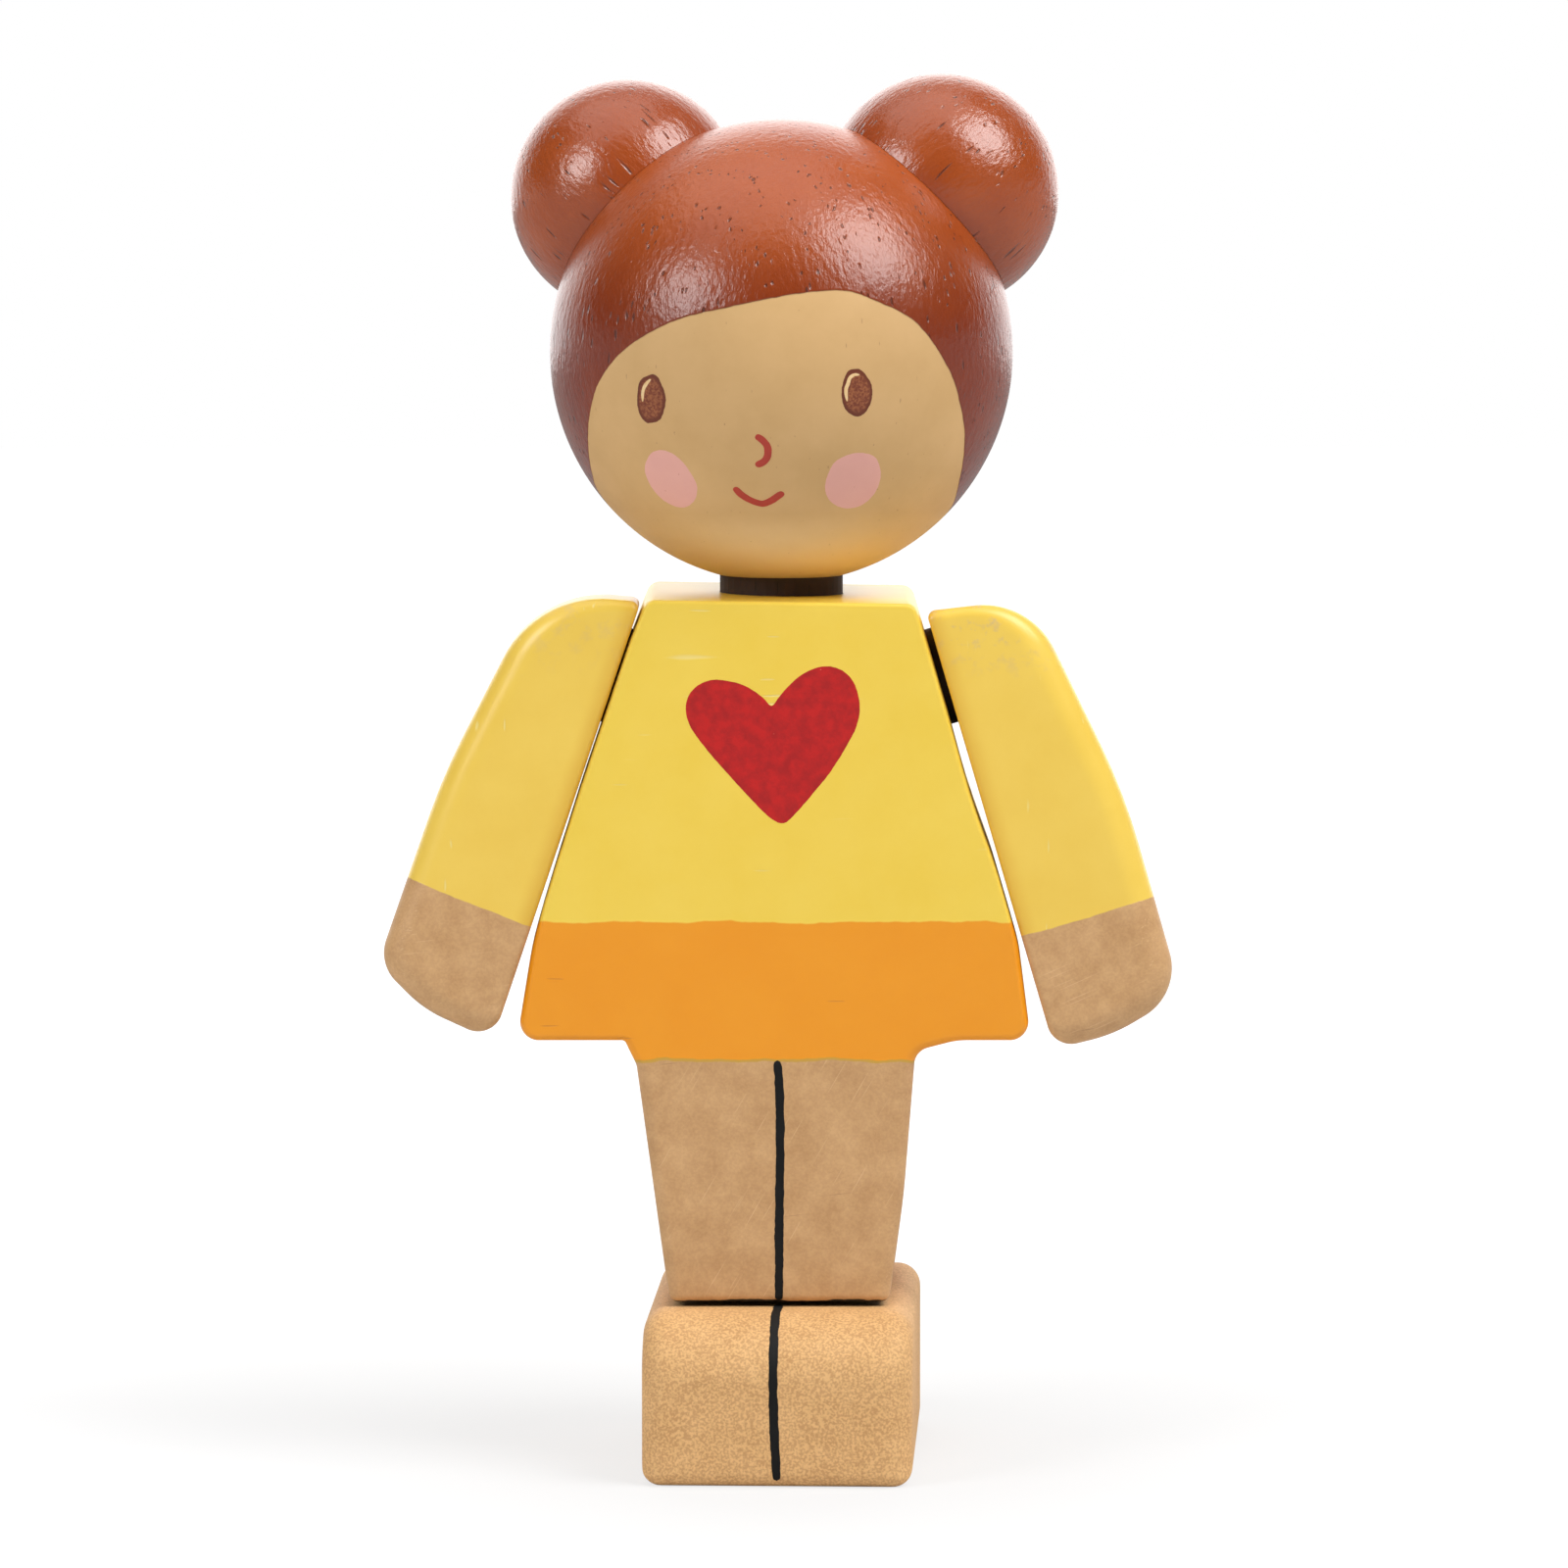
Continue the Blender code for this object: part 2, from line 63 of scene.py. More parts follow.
def fitted_corners(corners):
    """Points, radii and half turns of an outline, each radius cut back where its edge is too short."""
    points = [Vector(corner[:2]) for corner in corners]
    radii = [corner[2] for corner in corners]
    count = len(points)
    halves = []
    for i in range(count):
        before = (points[i] - points[i - 1]).normalized()
        after = (points[(i + 1) % count] - points[i]).normalized()
        halves.append(math.atan2(before.cross(after), before.dot(after)) / 2)
    for i in range(count):
        j = (i + 1) % count
        reach = radii[i] * abs(math.tan(halves[i])) + radii[j] * abs(math.tan(halves[j]))
        edge = (points[j] - points[i]).length
        if reach > 0.95 * edge:
            radii[i] *= 0.95 * edge / reach
            radii[j] *= 0.95 * edge / reach
    return points, radii, halves


def outline_ring(corners, easings, round_angle, deep=None):
    """The outline at one step of the rim's rounding, as (across, up, depth), drawn in by its easings."""
    deep = deep or easings
    points, radii, halves = fitted_corners(corners)
    count = len(points)
    share = 1 - math.cos(round_angle)
    lines = []
    for i in range(count):
        along = (points[(i + 1) % count] - points[i]).normalized()
        inward = Vector((-along.y, along.x))
        lines.append((points[i] + inward * easings[i] * share, along))
    ring = []
    for i in range(count):
        start, before = lines[i - 1]
        through, after = lines[i]
        corner = start + before * ((through - start).cross(after) / before.cross(after))
        drawn = (easings[i - 1] + easings[i]) / 2 * share
        radius = max(radii[i] - drawn if halves[i] > 0 else radii[i] + drawn, 0.15)
        side = Vector((-before.y, before.x)) * math.copysign(1, halves[i])
        centre = corner - before * radius * abs(math.tan(halves[i])) + side * radius
        steps = max(1, math.ceil(abs(math.degrees(2 * halves[i])) / ARC_STEP))
        for step in range(steps + 1):
            part = step / steps
            arm = Matrix.Rotation(2 * halves[i] * part, 2) @ (-side * radius)
            ring.append((centre.x + arm.x, centre.y + arm.y, deep[i - 1] * (1 - part) + deep[i] * part))
    return ring


def eased_board(name, corners, easings, thickness, place=Matrix.Identity(4), deep=None):
    """A board cut to an outline in XZ, (across, up, radius) anticlockwise from the front, with rounded rims.

    Sizes are in mm. deep gives the depths of the roundings where these aren't round.
    """
    angles = [math.pi / 2 * step / RIM_STEPS for step in range(RIM_STEPS + 1)]
    lip = [easing + FLAT_LIP for easing in easings]
    half = thickness / 2
    stations = [(-1, math.pi / 2, lip)] + [(-1, angle, easings) for angle in reversed(angles)]
    stations += [(1, angle, easings) for angle in angles] + [(1, math.pi / 2, lip)]
    points = []
    for face, angle, drawn in stations:
        ring = outline_ring(corners, drawn, angle)
        depths = [depth for _, _, depth in outline_ring(corners, easings, angle, deep or easings)]
        for (x, z, _), depth in zip(ring, depths):
            points.append(place @ Vector((x, face * (half - depth * (1 - math.sin(angle))), z)) * MM)
    size = len(points) // len(stations)
    faces = []
    for low in range(0, len(points) - size, size):
        for i in range(size):
            j = (i + 1) % size
            faces.append((low + i, low + j, low + size + j, low + size + i))
    ends = [tuple(range(size)), tuple(range(len(points) - size, len(points)))]
    return finished_mesh(name, points, faces + ends)


def finished_mesh(name, points, faces):
    """A mesh with its faces outwards, smooth but for its sharp edges."""
    mesh = bpy.data.meshes.new(name)
    mesh.from_pydata(points, [], faces)
    work = bmesh.new()
    work.from_mesh(mesh)
    bmesh.ops.recalc_face_normals(work, faces=work.faces)
    bmesh.ops.triangulate(work, faces=[face for face in work.faces if len(face.verts) > 4],
                          ngon_method="BEAUTY")
    for face in work.faces:
        face.smooth = True
    work.to_mesh(mesh)
    work.free()
    mesh.set_sharp_from_angle(angle=SHARP)
    return mesh


def in_scene(name, data):
    """An object of the scene, with its data."""
    thing = bpy.data.objects.new(name, data)
    bpy.context.scene.collection.objects.link(thing)
    return thing


def as_modified(thing):
    """A new mesh of what an object's modifiers make of it."""
    return bpy.data.meshes.new_from_object(thing.evaluated_get(bpy.context.evaluated_depsgraph_get()))


def add_piece(name, mesh, finish, body, node=None):
    """Shows a finished mesh as a piece on its body, in place of its CAD node if it has one."""
    piece = in_scene(name, mesh)
    mesh.materials.clear()
    mesh.materials.append(finish)
    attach(piece, body)
    if node:
        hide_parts(node)
    return piece


def side_point(side, top_reach, slant, drop, short):
    """A point on a slanted side of the dress, a drop below its top, short of the arm's plane."""
    return side * (top_reach + drop * math.tan(slant) - short), DRESS_TOP_Z - drop


def bored(mesh, bores):
    """The mesh with round bores, each given as its mouth, its direction out of the wood, radius and depth."""
    target = in_scene("bored", mesh)
    for mouth, out, radius, depth in bores:
        work = bmesh.new()
        turn = Vector((0, 0, 1)).rotation_difference(Vector(out)).to_matrix().to_4x4()
        middle = Vector(mouth) + Vector(out).normalized() * (PAST_MOUTH - depth) / 2
        bmesh.ops.create_cone(work, cap_ends=True, segments=64, radius1=radius * MM, radius2=radius * MM,
                              depth=(depth + PAST_MOUTH) * MM, matrix=Matrix.Translation(middle * MM) @ turn)
        cutter_mesh = bpy.data.meshes.new("bore")
        work.to_mesh(cutter_mesh)
        work.free()
        cutter = in_scene("bore", cutter_mesh)
        modifier = target.modifiers.new("bore", "BOOLEAN")
        modifier.operation = "DIFFERENCE"
        modifier.solver = "EXACT"
        modifier.object = cutter
        result = as_modified(target)
        target.modifiers.remove(modifier)
        target.data = result
        bpy.data.objects.remove(cutter)
    bpy.data.objects.remove(target)
    result.set_sharp_from_angle(angle=SHARP)
    return result


board_corners = [
    (*side_point(-1, RIGHT_TOP, RIGHT_SLANT, 0, 0.05), 0.8),
    (*side_point(-1, RIGHT_TOP, RIGHT_SLANT, 2.5, -0.12), 30),
    (*side_point(-1, RIGHT_TOP, RIGHT_SLANT, 12.5, -0.12), 60),
    (*side_point(-1, RIGHT_TOP, RIGHT_SLANT, 18.4, 0), 60),
    (*side_point(-1, RIGHT_TOP, RIGHT_SLANT, 21.9, 0.2), 20),
    (-16.95, HEM_Z, 1.15),
    (-10.05, HEM_Z, 0.3),                       # the crisp notch over the doll's right leg
    (-9.3, HEM_Z - 1.55, 1.5),
    (-7.2, LEG_END_Z, 0.6),
    (6.95, LEG_END_Z, 0.6),
    (7.87, LEG_END_Z + 6.9, 40),
    (8.6, HEM_Z - 0.7, 1.2),
    (11.3, HEM_Z, 5),                           # the wide sanded hollow over its left leg
    (16, HEM_Z, 1.15),
    (*side_point(1, LEFT_TOP, LEFT_SLANT, 21.9, 0), 9),
    (*side_point(1, LEFT_TOP, LEFT_SLANT, 17, 0), 25),
    (*side_point(1, LEFT_TOP, LEFT_SLANT, 12.5, 0.3), 40),
    (*side_point(1, LEFT_TOP, LEFT_SLANT, 8.1, 0.2), 60),
    (*side_point(1, LEFT_TOP, LEFT_SLANT, 0.25, 0.2), 0.8),
]
# The rims are crisp at the top and the hem. Down the sides they were sanded back deeper than they are wide.
board_easings = [0.25] * 4 + [0.4] * 2 + [0.5, 0.8, 0.5, 0.8, 0.8, 0.5] + [0.4] * 2 + [0.25] * 5
board_depths = [1.8] * 4 + [1.2, 0.4] + [0.5, 0.9, 0.5, 0.9, 0.9, 0.5] + [0.4, 1.2] + [1.8] * 4 + [0.25]
NECK_BORE = 4.05, 9.3                           # radius and depth
PEG_BORE = 3.225, 4.8
SHOULDER_DROP = 5.25
SHOULDER_Y = -4.2                               # the arms' fronts lie flush with the dress's
right_shoulder = side_point(-1, RIGHT_TOP, RIGHT_SLANT, SHOULDER_DROP, 0)
left_shoulder = side_point(1, LEFT_TOP, LEFT_SLANT, SHOULDER_DROP, 0)
board_mesh = bored(
    eased_board("dress_and_legs", board_corners, board_easings, BOARD_THICKNESS, deep=board_depths),
    [((0, 0, DRESS_TOP_Z), (0, 0, 1), *NECK_BORE),
     ((right_shoulder[0], SHOULDER_Y, right_shoulder[1]), (-math.cos(RIGHT_SLANT), 0, math.sin(RIGHT_SLANT)),
      *PEG_BORE),
     ((left_shoulder[0], SHOULDER_Y, left_shoulder[1]), (math.cos(LEFT_SLANT), 0, math.sin(LEFT_SLANT)),
      *PEG_BORE)])


def linear(colour):
    """An sRGB colour such as "eac84f" as the linear colour that a socket holds."""
    channels = [int(colour[i:i + 2], 16) / 255 for i in (0, 2, 4)]
    return [c / 12.92 if c <= 0.04045 else ((c + 0.055) / 1.055) ** 2.4 for c in channels] + [1]


def new_tree(name, kind, inputs, outputs):
    """A node group with named sockets, each given as its type or its number, and the inputs to link."""
    tree = bpy.data.node_groups.new(name, kind)
    for in_out, sockets in (("INPUT", inputs), ("OUTPUT", outputs)):
        for label, value in sockets.items():
            socket_type = value if isinstance(value, str) else "Float"
            socket = tree.interface.new_socket(label, in_out=in_out, socket_type="NodeSocket" + socket_type)
            if value is not socket_type:
                socket.default_value = value
    return tree, tree.nodes.new("NodeGroupInput").outputs


MAIN_SETTINGS = "operation", "interpolation_type", "rotation_type", "data_type"


def add(tree, kind, *values, **named):
    """Adds a node, as a type with its main setting after a dot, or as the tree of a group.

    Other settings may come first, in a dict. Sockets are given in order or by name. A colour may be given
    as its sRGB hex, and a node stands for its first output.
    """
    settings, values = (values[0], values[1:]) if values and isinstance(values[0], dict) else ({}, values)
    if isinstance(kind, bpy.types.NodeTree):
        kind, settings = "Group", {"node_tree": kind}
    kind, _, main = kind.partition(".")
    families = tree.bl_idname.removesuffix("Tree"), "ShaderNode", "Node"
    family = next(family for family in families if hasattr(bpy.types, family + kind))
    node = tree.nodes.new(family + kind)
    if main:
        setattr(node, next(setting for setting in MAIN_SETTINGS if hasattr(node, setting)), main)
    for setting, value in settings.items():
        setattr(node, setting, value)
    for key, value in [*enumerate(values), *named.items()]:
        sockets = [socket for socket in node.inputs if socket.enabled]
        if isinstance(key, str):
            sockets = [socket for socket in sockets if socket.name.replace(" ", "_") == key]
            key = 0
        if isinstance(value, bpy.types.Node):
            value = next(socket for socket in value.outputs if socket.enabled)
        elif isinstance(value, str) and sockets[key].type == "RGBA":
            value = linear(value)
        if isinstance(value, bpy.types.NodeSocket):
            tree.links.new(value, sockets[key])
        elif value is not None:
            sockets[key].default_value = value
    return node


def two_toned(tree, place, grain, first, second, detail=2.0, roughness=0.5, span=None):
    """A colour that drifts between two tones, in clouds of a size in mm, over a span of the noise."""
    tone = add(tree, "TexNoise", place, Scale=1 / grain, Detail=detail, Roughness=roughness)
    if span:
        tone = add(tree, "MapRange", tone, From_Min=span[0], From_Max=span[1])
    return add(tree, "Mix.RGBA", tone, first, second)


def emptied(owner):
    """The node tree of a material or a world, emptied."""
    owner.use_nodes = True
    owner.node_tree.nodes.clear()
    return owner.node_tree


def new_finish(name):
    """A material with an empty tree, and Object coordinates in mm."""
    finish = bpy.data.materials.new(name)
    tree = emptied(finish)
    place = add(tree, "TexCoord").outputs["Object"]
    return finish, tree, add(tree, "VectorMath.SCALE", place, Scale=1 / MM)


def surfaced(tree, colour, roughness, height=None, distance=MM, ior=1.5, **coat):
    """Ends a material's tree in its surface, with a relief where it has a height, and its coat."""
    sockets = {"Base_Color": colour, "Roughness": roughness, "IOR": ior, **coat}
    if height is not None:
        sockets["Normal"] = add(tree, "Bump", Distance=distance, Height=height)
    if coat:
        sockets["Coat_Normal"] = sockets["Normal"]
    add(tree, "OutputMaterial", add(tree, "BsdfPrincipled", **sockets))


# Open grain: the wood's pores are cut-open vessels, long along the grain and round across it. Each cell of
# a stretched Voronoi pattern may hold one, so a flat sawn along the grain shows dashes and an end shows pits.
tree, given = new_tree("open grain", "ShaderNodeTree",
                       {"Grain": "Vector", "Length": 1.2, "Width": 0.1, "Share": 0.05}, {"Pore": "Float"})
cell = add(tree, "CombineXYZ", given["Length"], given["Width"], given["Width"])
cells = add(tree, "VectorMath.DIVIDE", given["Grain"], cell)
drift = add(tree, "TexNoise", cells, Scale=0.7, Detail=1.0)
bend = add(tree, "VectorMath.MULTIPLY_ADD", drift.outputs["Color"], (0.5, 0.9, 0.9),
           add(tree, "VectorMath.SCALE", cells, Scale=0.7))
vessels = add(tree, "TexVoronoi", bend, Scale=1.0)
chance = add(tree, "SeparateColor", vessels.outputs["Color"])
reach = add(tree, "Math.MULTIPLY_ADD", chance.outputs["Green"], 0.26, 0.14)
inside = add(tree, "MapRange.SMOOTHSTEP", vessels, From_Min=reach, From_Max=0.1)
kept = add(tree, "Math.LESS_THAN", chance, given["Share"])
add(tree, "GroupOutput", add(tree, "Math.MULTIPLY", inside, kept))
open_grain = tree

# Satin paint: two brushed coats that sink into the pores, clouded a little where they lie thinner, with the
# fine pebbled relief of a brushed lacquer over them. Grain is in mm with X along it; Height is in mm.
tree, given = new_tree("satin paint on open grain", "ShaderNodeTree",
                       {"Grain": "Vector", "Paint": "Color", "Thin": "Color", "Pore Colour": "Color",
                        "Pore Length": 1.2, "Pore Width": 0.1, "Pore Share": 0.04, "Relief": 0.008,
                        "Pore Depth": 0.02}, {"Colour": "Color", "Height": "Float"})
cloud = add(tree, "TexNoise", given["Grain"], Scale=1 / 5, Detail=4.0, Roughness=0.6)
thinness = add(tree, "MapRange", cloud, From_Min=0.35, From_Max=0.7)
brushed = add(tree, "Mix.RGBA", thinness, given["Paint"], given["Thin"])
pores = add(tree, open_grain, given["Grain"], given["Pore Length"], given["Pore Width"], given["Pore Share"])
pore_tint = add(tree, "Math.MULTIPLY", pores, 0.7)
filled = add(tree, "Mix.RGBA", pore_tint, brushed, given["Pore Colour"])
drawn_out = add(tree, "VectorMath.MULTIPLY", given["Grain"], (0.5, 1, 1))
pebbles = add(tree, "TexNoise", drawn_out, Scale=1 / 0.4, Detail=3.0, Roughness=0.6)
relief = add(tree, "Math.MULTIPLY", pebbles, given["Relief"])
sunk = add(tree, "Math.MULTIPLY", pores, given["Pore Depth"])
height = add(tree, "Math.SUBTRACT", relief, sunk)
add(tree, "GroupOutput", filled, height)
satin_paint = tree

# Pearly tan paint: a thin skin-coloured coat with a gold shimmer, mottled where the wood drank it, and
# scratched by the sanding under it. Place is in mm; Slope turns the scratches about Y.
tree, given = new_tree("pearly tan paint", "ShaderNodeTree",
                       {"Place": "Vector", "Slope": 1.05, "Scratches": 0.12, "Speckle": 0.3},
                       {"Colour": "Color", "Height": "Float"})
cloud = add(tree, "TexNoise", given["Place"], Scale=1 / 2.4, Detail=5.0, Roughness=0.68)
mottled = add(tree, "Mix.RGBA", add(tree, "MapRange", cloud, From_Min=0.36, From_Max=0.66), "bd9060", "d0a473")
sparkle = two_toned(tree, given["Place"], 0.16, "b78a58", "e6bd80", detail=1.0, span=(0.4, 0.62))
speckled = add(tree, "Mix.RGBA", given["Speckle"], mottled, sparkle)
sanded = add(tree, "VectorRotate.Y_AXIS", given["Place"], Angle=given["Slope"])
scratches = add(tree, open_grain, sanded, 3.5, 0.09, given["Scratches"])
scratched = add(tree, "Mix.RGBA", add(tree, "Math.MULTIPLY", scratches, 0.45), speckled, "e3bd90")
veined = add(tree, "VectorRotate.Y_AXIS", given["Place"], Angle=0.12)
pores = add(tree, open_grain, veined, 2.4, 0.1, 0.035)
pored = add(tree, "Mix.RGBA", add(tree, "Math.MULTIPLY", pores, 0.5), scratched, "9c7048")
grooves = add(tree, "Math.ADD", scratches, pores)
relief = add(tree, "Math.MULTIPLY", cloud, 0.03)
height = add(tree, "Math.MULTIPLY_ADD", grooves, -0.008, relief)
add(tree, "GroupOutput", pored, height)
tan_paint = tree

# The bands meet at hand-brushed lines, a little wavy, and the legs' lowest band, at the joint over the feet,
# is near-black. Each band starts softly between two heights, in mm.
BAND_EDGES = {"yellow": (35.97, 36.07), "orange": (27.2, 27.28), "ochre": (27.02, 27.1), "tan": (11.6, 11.66)}
board_paint, tree, spot = new_finish("Satin paint in three bands on beech")
along = add(tree, "SeparateXYZ", spot)
# The yellow's pale pore colour is painted highlight, for light caught on the pores' rims, over slightly paler
# paint in them.
yellow = add(tree, satin_paint, spot, "eecb48", "f1d052", "f3dd8c", 3.2, 0.3, 0.09, 0.006)
orange = add(tree, satin_paint, spot, "ed9612", "ef9a18", "d98a2c", 3.2, 0.3, 0.08, 0.006)
tan = add(tree, tan_paint, spot, 1.05, 0.2, 0.12)
wave = add(tree, "TexNoise", spot, Scale=1 / 3.5, Detail=3.0, Roughness=0.65)
level = add(tree, "Math.MULTIPLY_ADD", wave, 0.7, along.outputs["Z"])
above = {}
for band, (start, full) in BAND_EDGES.items():
    above[band] = add(tree, "MapRange", level, From_Min=start, From_Max=full)
legs = add(tree, "Mix.RGBA", above["tan"], "0a0806", tan)
edged = add(tree, "Mix.RGBA", above["ochre"], legs, "c79a3a")
skirt = add(tree, "Mix.RGBA", above["orange"], edged, orange)
dress = add(tree, "Mix.RGBA", above["yellow"], skirt, yellow)
height = add(tree, "Mix.FLOAT", above["orange"], tan.outputs["Height"], yellow.outputs["Height"])
gloss = add(tree, "MapRange", above["orange"], To_Min=0.5, To_Max=0.36)
surfaced(tree, dress, gloss, height)

board = add_piece("dress_and_legs", board_mesh, board_paint, "dress_and_feet", "dress_and_leg_block")


# ---------------------------------------------------------------- Foot block
# Both feet are one block, glued and dowelled under the legs. Its toe is rounded off with a large radius
# and every rim is sanded over. It has the legs' tan paint, with more shimmer, as it was sprayed on its own,
# made lighter all over as painted light for its front.

foot_corners = [(-11, 0, 1), (15.2, 0, 1), (15.2, 10.85, 4.2), (-11, 10.85, 1.6)]
foot_place = Matrix.Translation((0.25, 0, 0)) @ Matrix.Rotation(math.radians(-90 - 2.2), 4, "Z")
foot_mesh = eased_board("feet", foot_corners, [1.2, 1.9, 1.5, 1.5], 17.3, foot_place)

foot_paint, tree, spot = new_finish("Sprayed pearly tan paint on beech")
tan = add(tree, tan_paint, spot, 1.3, 0.04, 0.5)
# Painted light: the foot's tan is lifted to be lighter than the legs', to brighten its front near the table.
lift = add(tree, "HueSaturation", Value=1.14, Color=tan)
surfaced(tree, lift, 0.7, tan.outputs["Height"], ior=1.4)
feet = add_piece("feet", foot_mesh, foot_paint, "dress_and_feet", "foot_block")


# ---------------------------------------------------------------- Heart and leg line
# Both are printed or brushed on the finished paint: a red heart on the chest and one black line that parts
# the legs and the toes. Each is a film of ink that follows the wood under it and thins out at its edge.

# Lays a flat film on the piece that carries it. Edge runs from 0 in the middle of the film to 1 at its rim,
# where the film dips under the surface, so that no gap shows below it.
tree, given = new_tree("lay on piece", "GeometryNodeTree",
                       {"Film": "Geometry", "Piece": "Object", "Edge": 0, "Thickness": 0.00002},
                       {"Film": "Geometry"})
carrier = add(tree, "ObjectInfo", given["Piece"]).outputs["Geometry"]
nearest = add(tree, "Proximity", {"target_element": "FACES"}, carrier)
outward = add(tree, "SampleNearestSurface.FLOAT_VECTOR", carrier, add(tree, "InputNormal"))
rim = add(tree, "Math.POWER", given["Edge"], 12.0)
dome = add(tree, "Math.MULTIPLY_ADD", rim, -1.6, 1.0)
rise = add(tree, "Math.MULTIPLY", dome, given["Thickness"])
lift = add(tree, "VectorMath.SCALE", outward, Scale=rise)
place = add(tree, "VectorMath.ADD", nearest, lift)
laid = add(tree, "SetPosition", given["Film"], Position=place)
add(tree, "GroupOutput", laid)
lay_on_piece = tree


def sampled_curve(tree, points, resolution, turn):
    """A smooth curve through the points of a path, sampled at a share of its length."""
    curve = add(tree, "CurveSplineType", {"spline_type": "CATMULL_ROM"}, add(tree, "MeshToCurve", points))
    curve = add(tree, "SetSplineResolution", curve, Resolution=resolution)
    return add(tree, "SampleCurve", curve, Factor=turn)


def end_in_film(tree, given, grid, edge, place):
    """Ends a painting tree in its grid, moved to its place, laid on the piece and painted."""
    marked = add(tree, "StoreNamedAttribute", {"data_type": "FLOAT", "domain": "POINT"}, grid, Name="edge",
                 Value=edge)
    spread = add(tree, "SetPosition", marked, Position=place)
    edge_kept = add(tree, "InputNamedAttribute.FLOAT", "edge")
    film = add(tree, lay_on_piece, spread, given["Piece"], edge_kept, given["Thickness"])
    closed = add(tree, "MergeByDistance", film, Distance=0.000001)
    real = add(tree, "RealizeInstances", add(tree, "SetShadeSmooth", closed))
    add(tree, "GroupOutput", add(tree, "SetMaterial", real, Material=given["Paint"]))


# A patch fills an outline from a centre that sees all of it. Its edge wavers by Waver, at grains of 0.15 mm.
tree, given = new_tree("paint patch", "GeometryNodeTree",
                       {"Outline": "Geometry", "Piece": "Object", "Centre": "Vector", "Waver": 0.00003,
                        "Thickness": 0.00002, "Paint": "Material"}, {"Patch": "Geometry"})
grid = add(tree, "MeshGrid", 1.0, 1.0, 14, 181)
at = add(tree, "SeparateXYZ", add(tree, "InputPosition"))
turn = add(tree, "Math.ADD", at.outputs["Y"], 0.5)
inner = add(tree, "Math.SUBTRACT", 0.5, at.outputs["X"])
reach = add(tree, "Math.MULTIPLY_ADD", inner, add(tree, "Math.MULTIPLY", inner, -1.0), 1.0)
outline = sampled_curve(tree, given["Outline"], 10, turn).outputs["Position"]
grains = add(tree, "TexNoise", outline, Scale=1 / 0.00015 / 2, Detail=2.0)
waver = add(tree, "Math.MULTIPLY", add(tree, "Math.SUBTRACT", grains, 0.5), given["Waver"])
spoke = add(tree, "VectorMath.SUBTRACT", outline, given["Centre"])
length = add(tree, "VectorMath.LENGTH", spoke)
stretch = add(tree, "Math.DIVIDE", waver, length)
share = add(tree, "Math.MULTIPLY", reach, add(tree, "Math.MULTIPLY_ADD", stretch, 2.0, 1.0))
place = add(tree, "VectorMath.ADD", given["Centre"], add(tree, "VectorMath.SCALE", spoke, Scale=share))
end_in_film(tree, given, grid, reach, place)
paint_patch = tree

# A stroke follows a path. Its ends are round where Blunt is high and drawn out where it is low.
tree, given = new_tree("brush stroke", "GeometryNodeTree",
                       {"Path": "Geometry", "Piece": "Object", "Width": 0.0005, "Blunt": 8,
                        "Waver": 0.00005, "Thickness": 0.00002, "Paint": "Material"}, {"Stroke": "Geometry"})
grid = add(tree, "MeshGrid", 1.0, 2.0, 161, 13)
at = add(tree, "SeparateXYZ", add(tree, "InputPosition"))
along = add(tree, "Math.ADD", at.outputs["X"], 0.5)
path = sampled_curve(tree, given["Path"], 16, along)
carrier = add(tree, "ObjectInfo", given["Piece"]).outputs["Geometry"]
outward = add(tree, "SampleNearestSurface.FLOAT_VECTOR", carrier, add(tree, "InputNormal"),
              Sample_Position=path.outputs["Position"])
across = add(tree, "VectorMath.NORMALIZE",
             add(tree, "VectorMath.CROSS_PRODUCT", outward, path.outputs["Tangent"]))
from_middle = add(tree, "Math.ABSOLUTE", add(tree, "Math.MULTIPLY", at.outputs["X"], 2.0))
blunted = add(tree, "Math.POWER", from_middle, given["Blunt"])
taper = add(tree, "Math.SQRT", add(tree, "Math.SUBTRACT", 1.0, blunted))
half = add(tree, "Math.MULTIPLY", given["Width"], 0.5)
side = add(tree, "Math.SIGN", at.outputs["Y"])
rim = add(tree, "VectorMath.SCALE", across, Scale=add(tree, "Math.MULTIPLY", side, half))
grains = add(tree, "TexNoise", add(tree, "VectorMath.ADD", path.outputs["Position"], rim),
             Scale=1 / 0.0008, Detail=3.0, Roughness=0.6)
waver = add(tree, "Math.MULTIPLY", add(tree, "Math.SUBTRACT", grains, 0.5), given["Waver"])
reach = add(tree, "Math.MULTIPLY_ADD", waver, 2.0, half)
reach = add(tree, "Math.MULTIPLY", reach, taper)
reach = add(tree, "Math.MULTIPLY", reach, at.outputs["Y"])
place = add(tree, "VectorMath.ADD", path.outputs["Position"],
            add(tree, "VectorMath.SCALE", across, Scale=reach))
end_in_film(tree, given, grid, add(tree, "Math.ABSOLUTE", at.outputs["Y"]), place)
brush_stroke = tree


def painted(name, points, tree, piece, body, closed=False, **inputs):
    """Runs a painting tree on a path or a closed outline in mm, and keeps the film as a piece."""
    edges = [(i, i + 1) for i in range(len(points) - 1)] + ([(len(points) - 1, 0)] if closed else [])
    path = bpy.data.meshes.new(name)
    path.from_pydata([Vector(point) * MM for point in points], edges, [])
    film = in_scene(name, path)
    modifier = film.modifiers.new(name, "NODES")
    modifier.node_group = tree
    values = {"Piece": piece, **inputs}
    for item in tree.interface.items_tree:
        if item.in_out == "INPUT" and item.name in values:
            modifier[item.identifier] = values[item.name]
    mesh = as_modified(film)
    bpy.data.objects.remove(film)
    return add_piece(name, mesh, inputs["Paint"], body)


def anticlockwise(points):
    """A flat outline in the order that turns its patch's face outwards."""
    area = sum(points[i - 1][0] * points[i][1] - points[i][0] * points[i - 1][1] for i in range(len(points)))
    return list(points) if area > 0 else list(reversed(points))


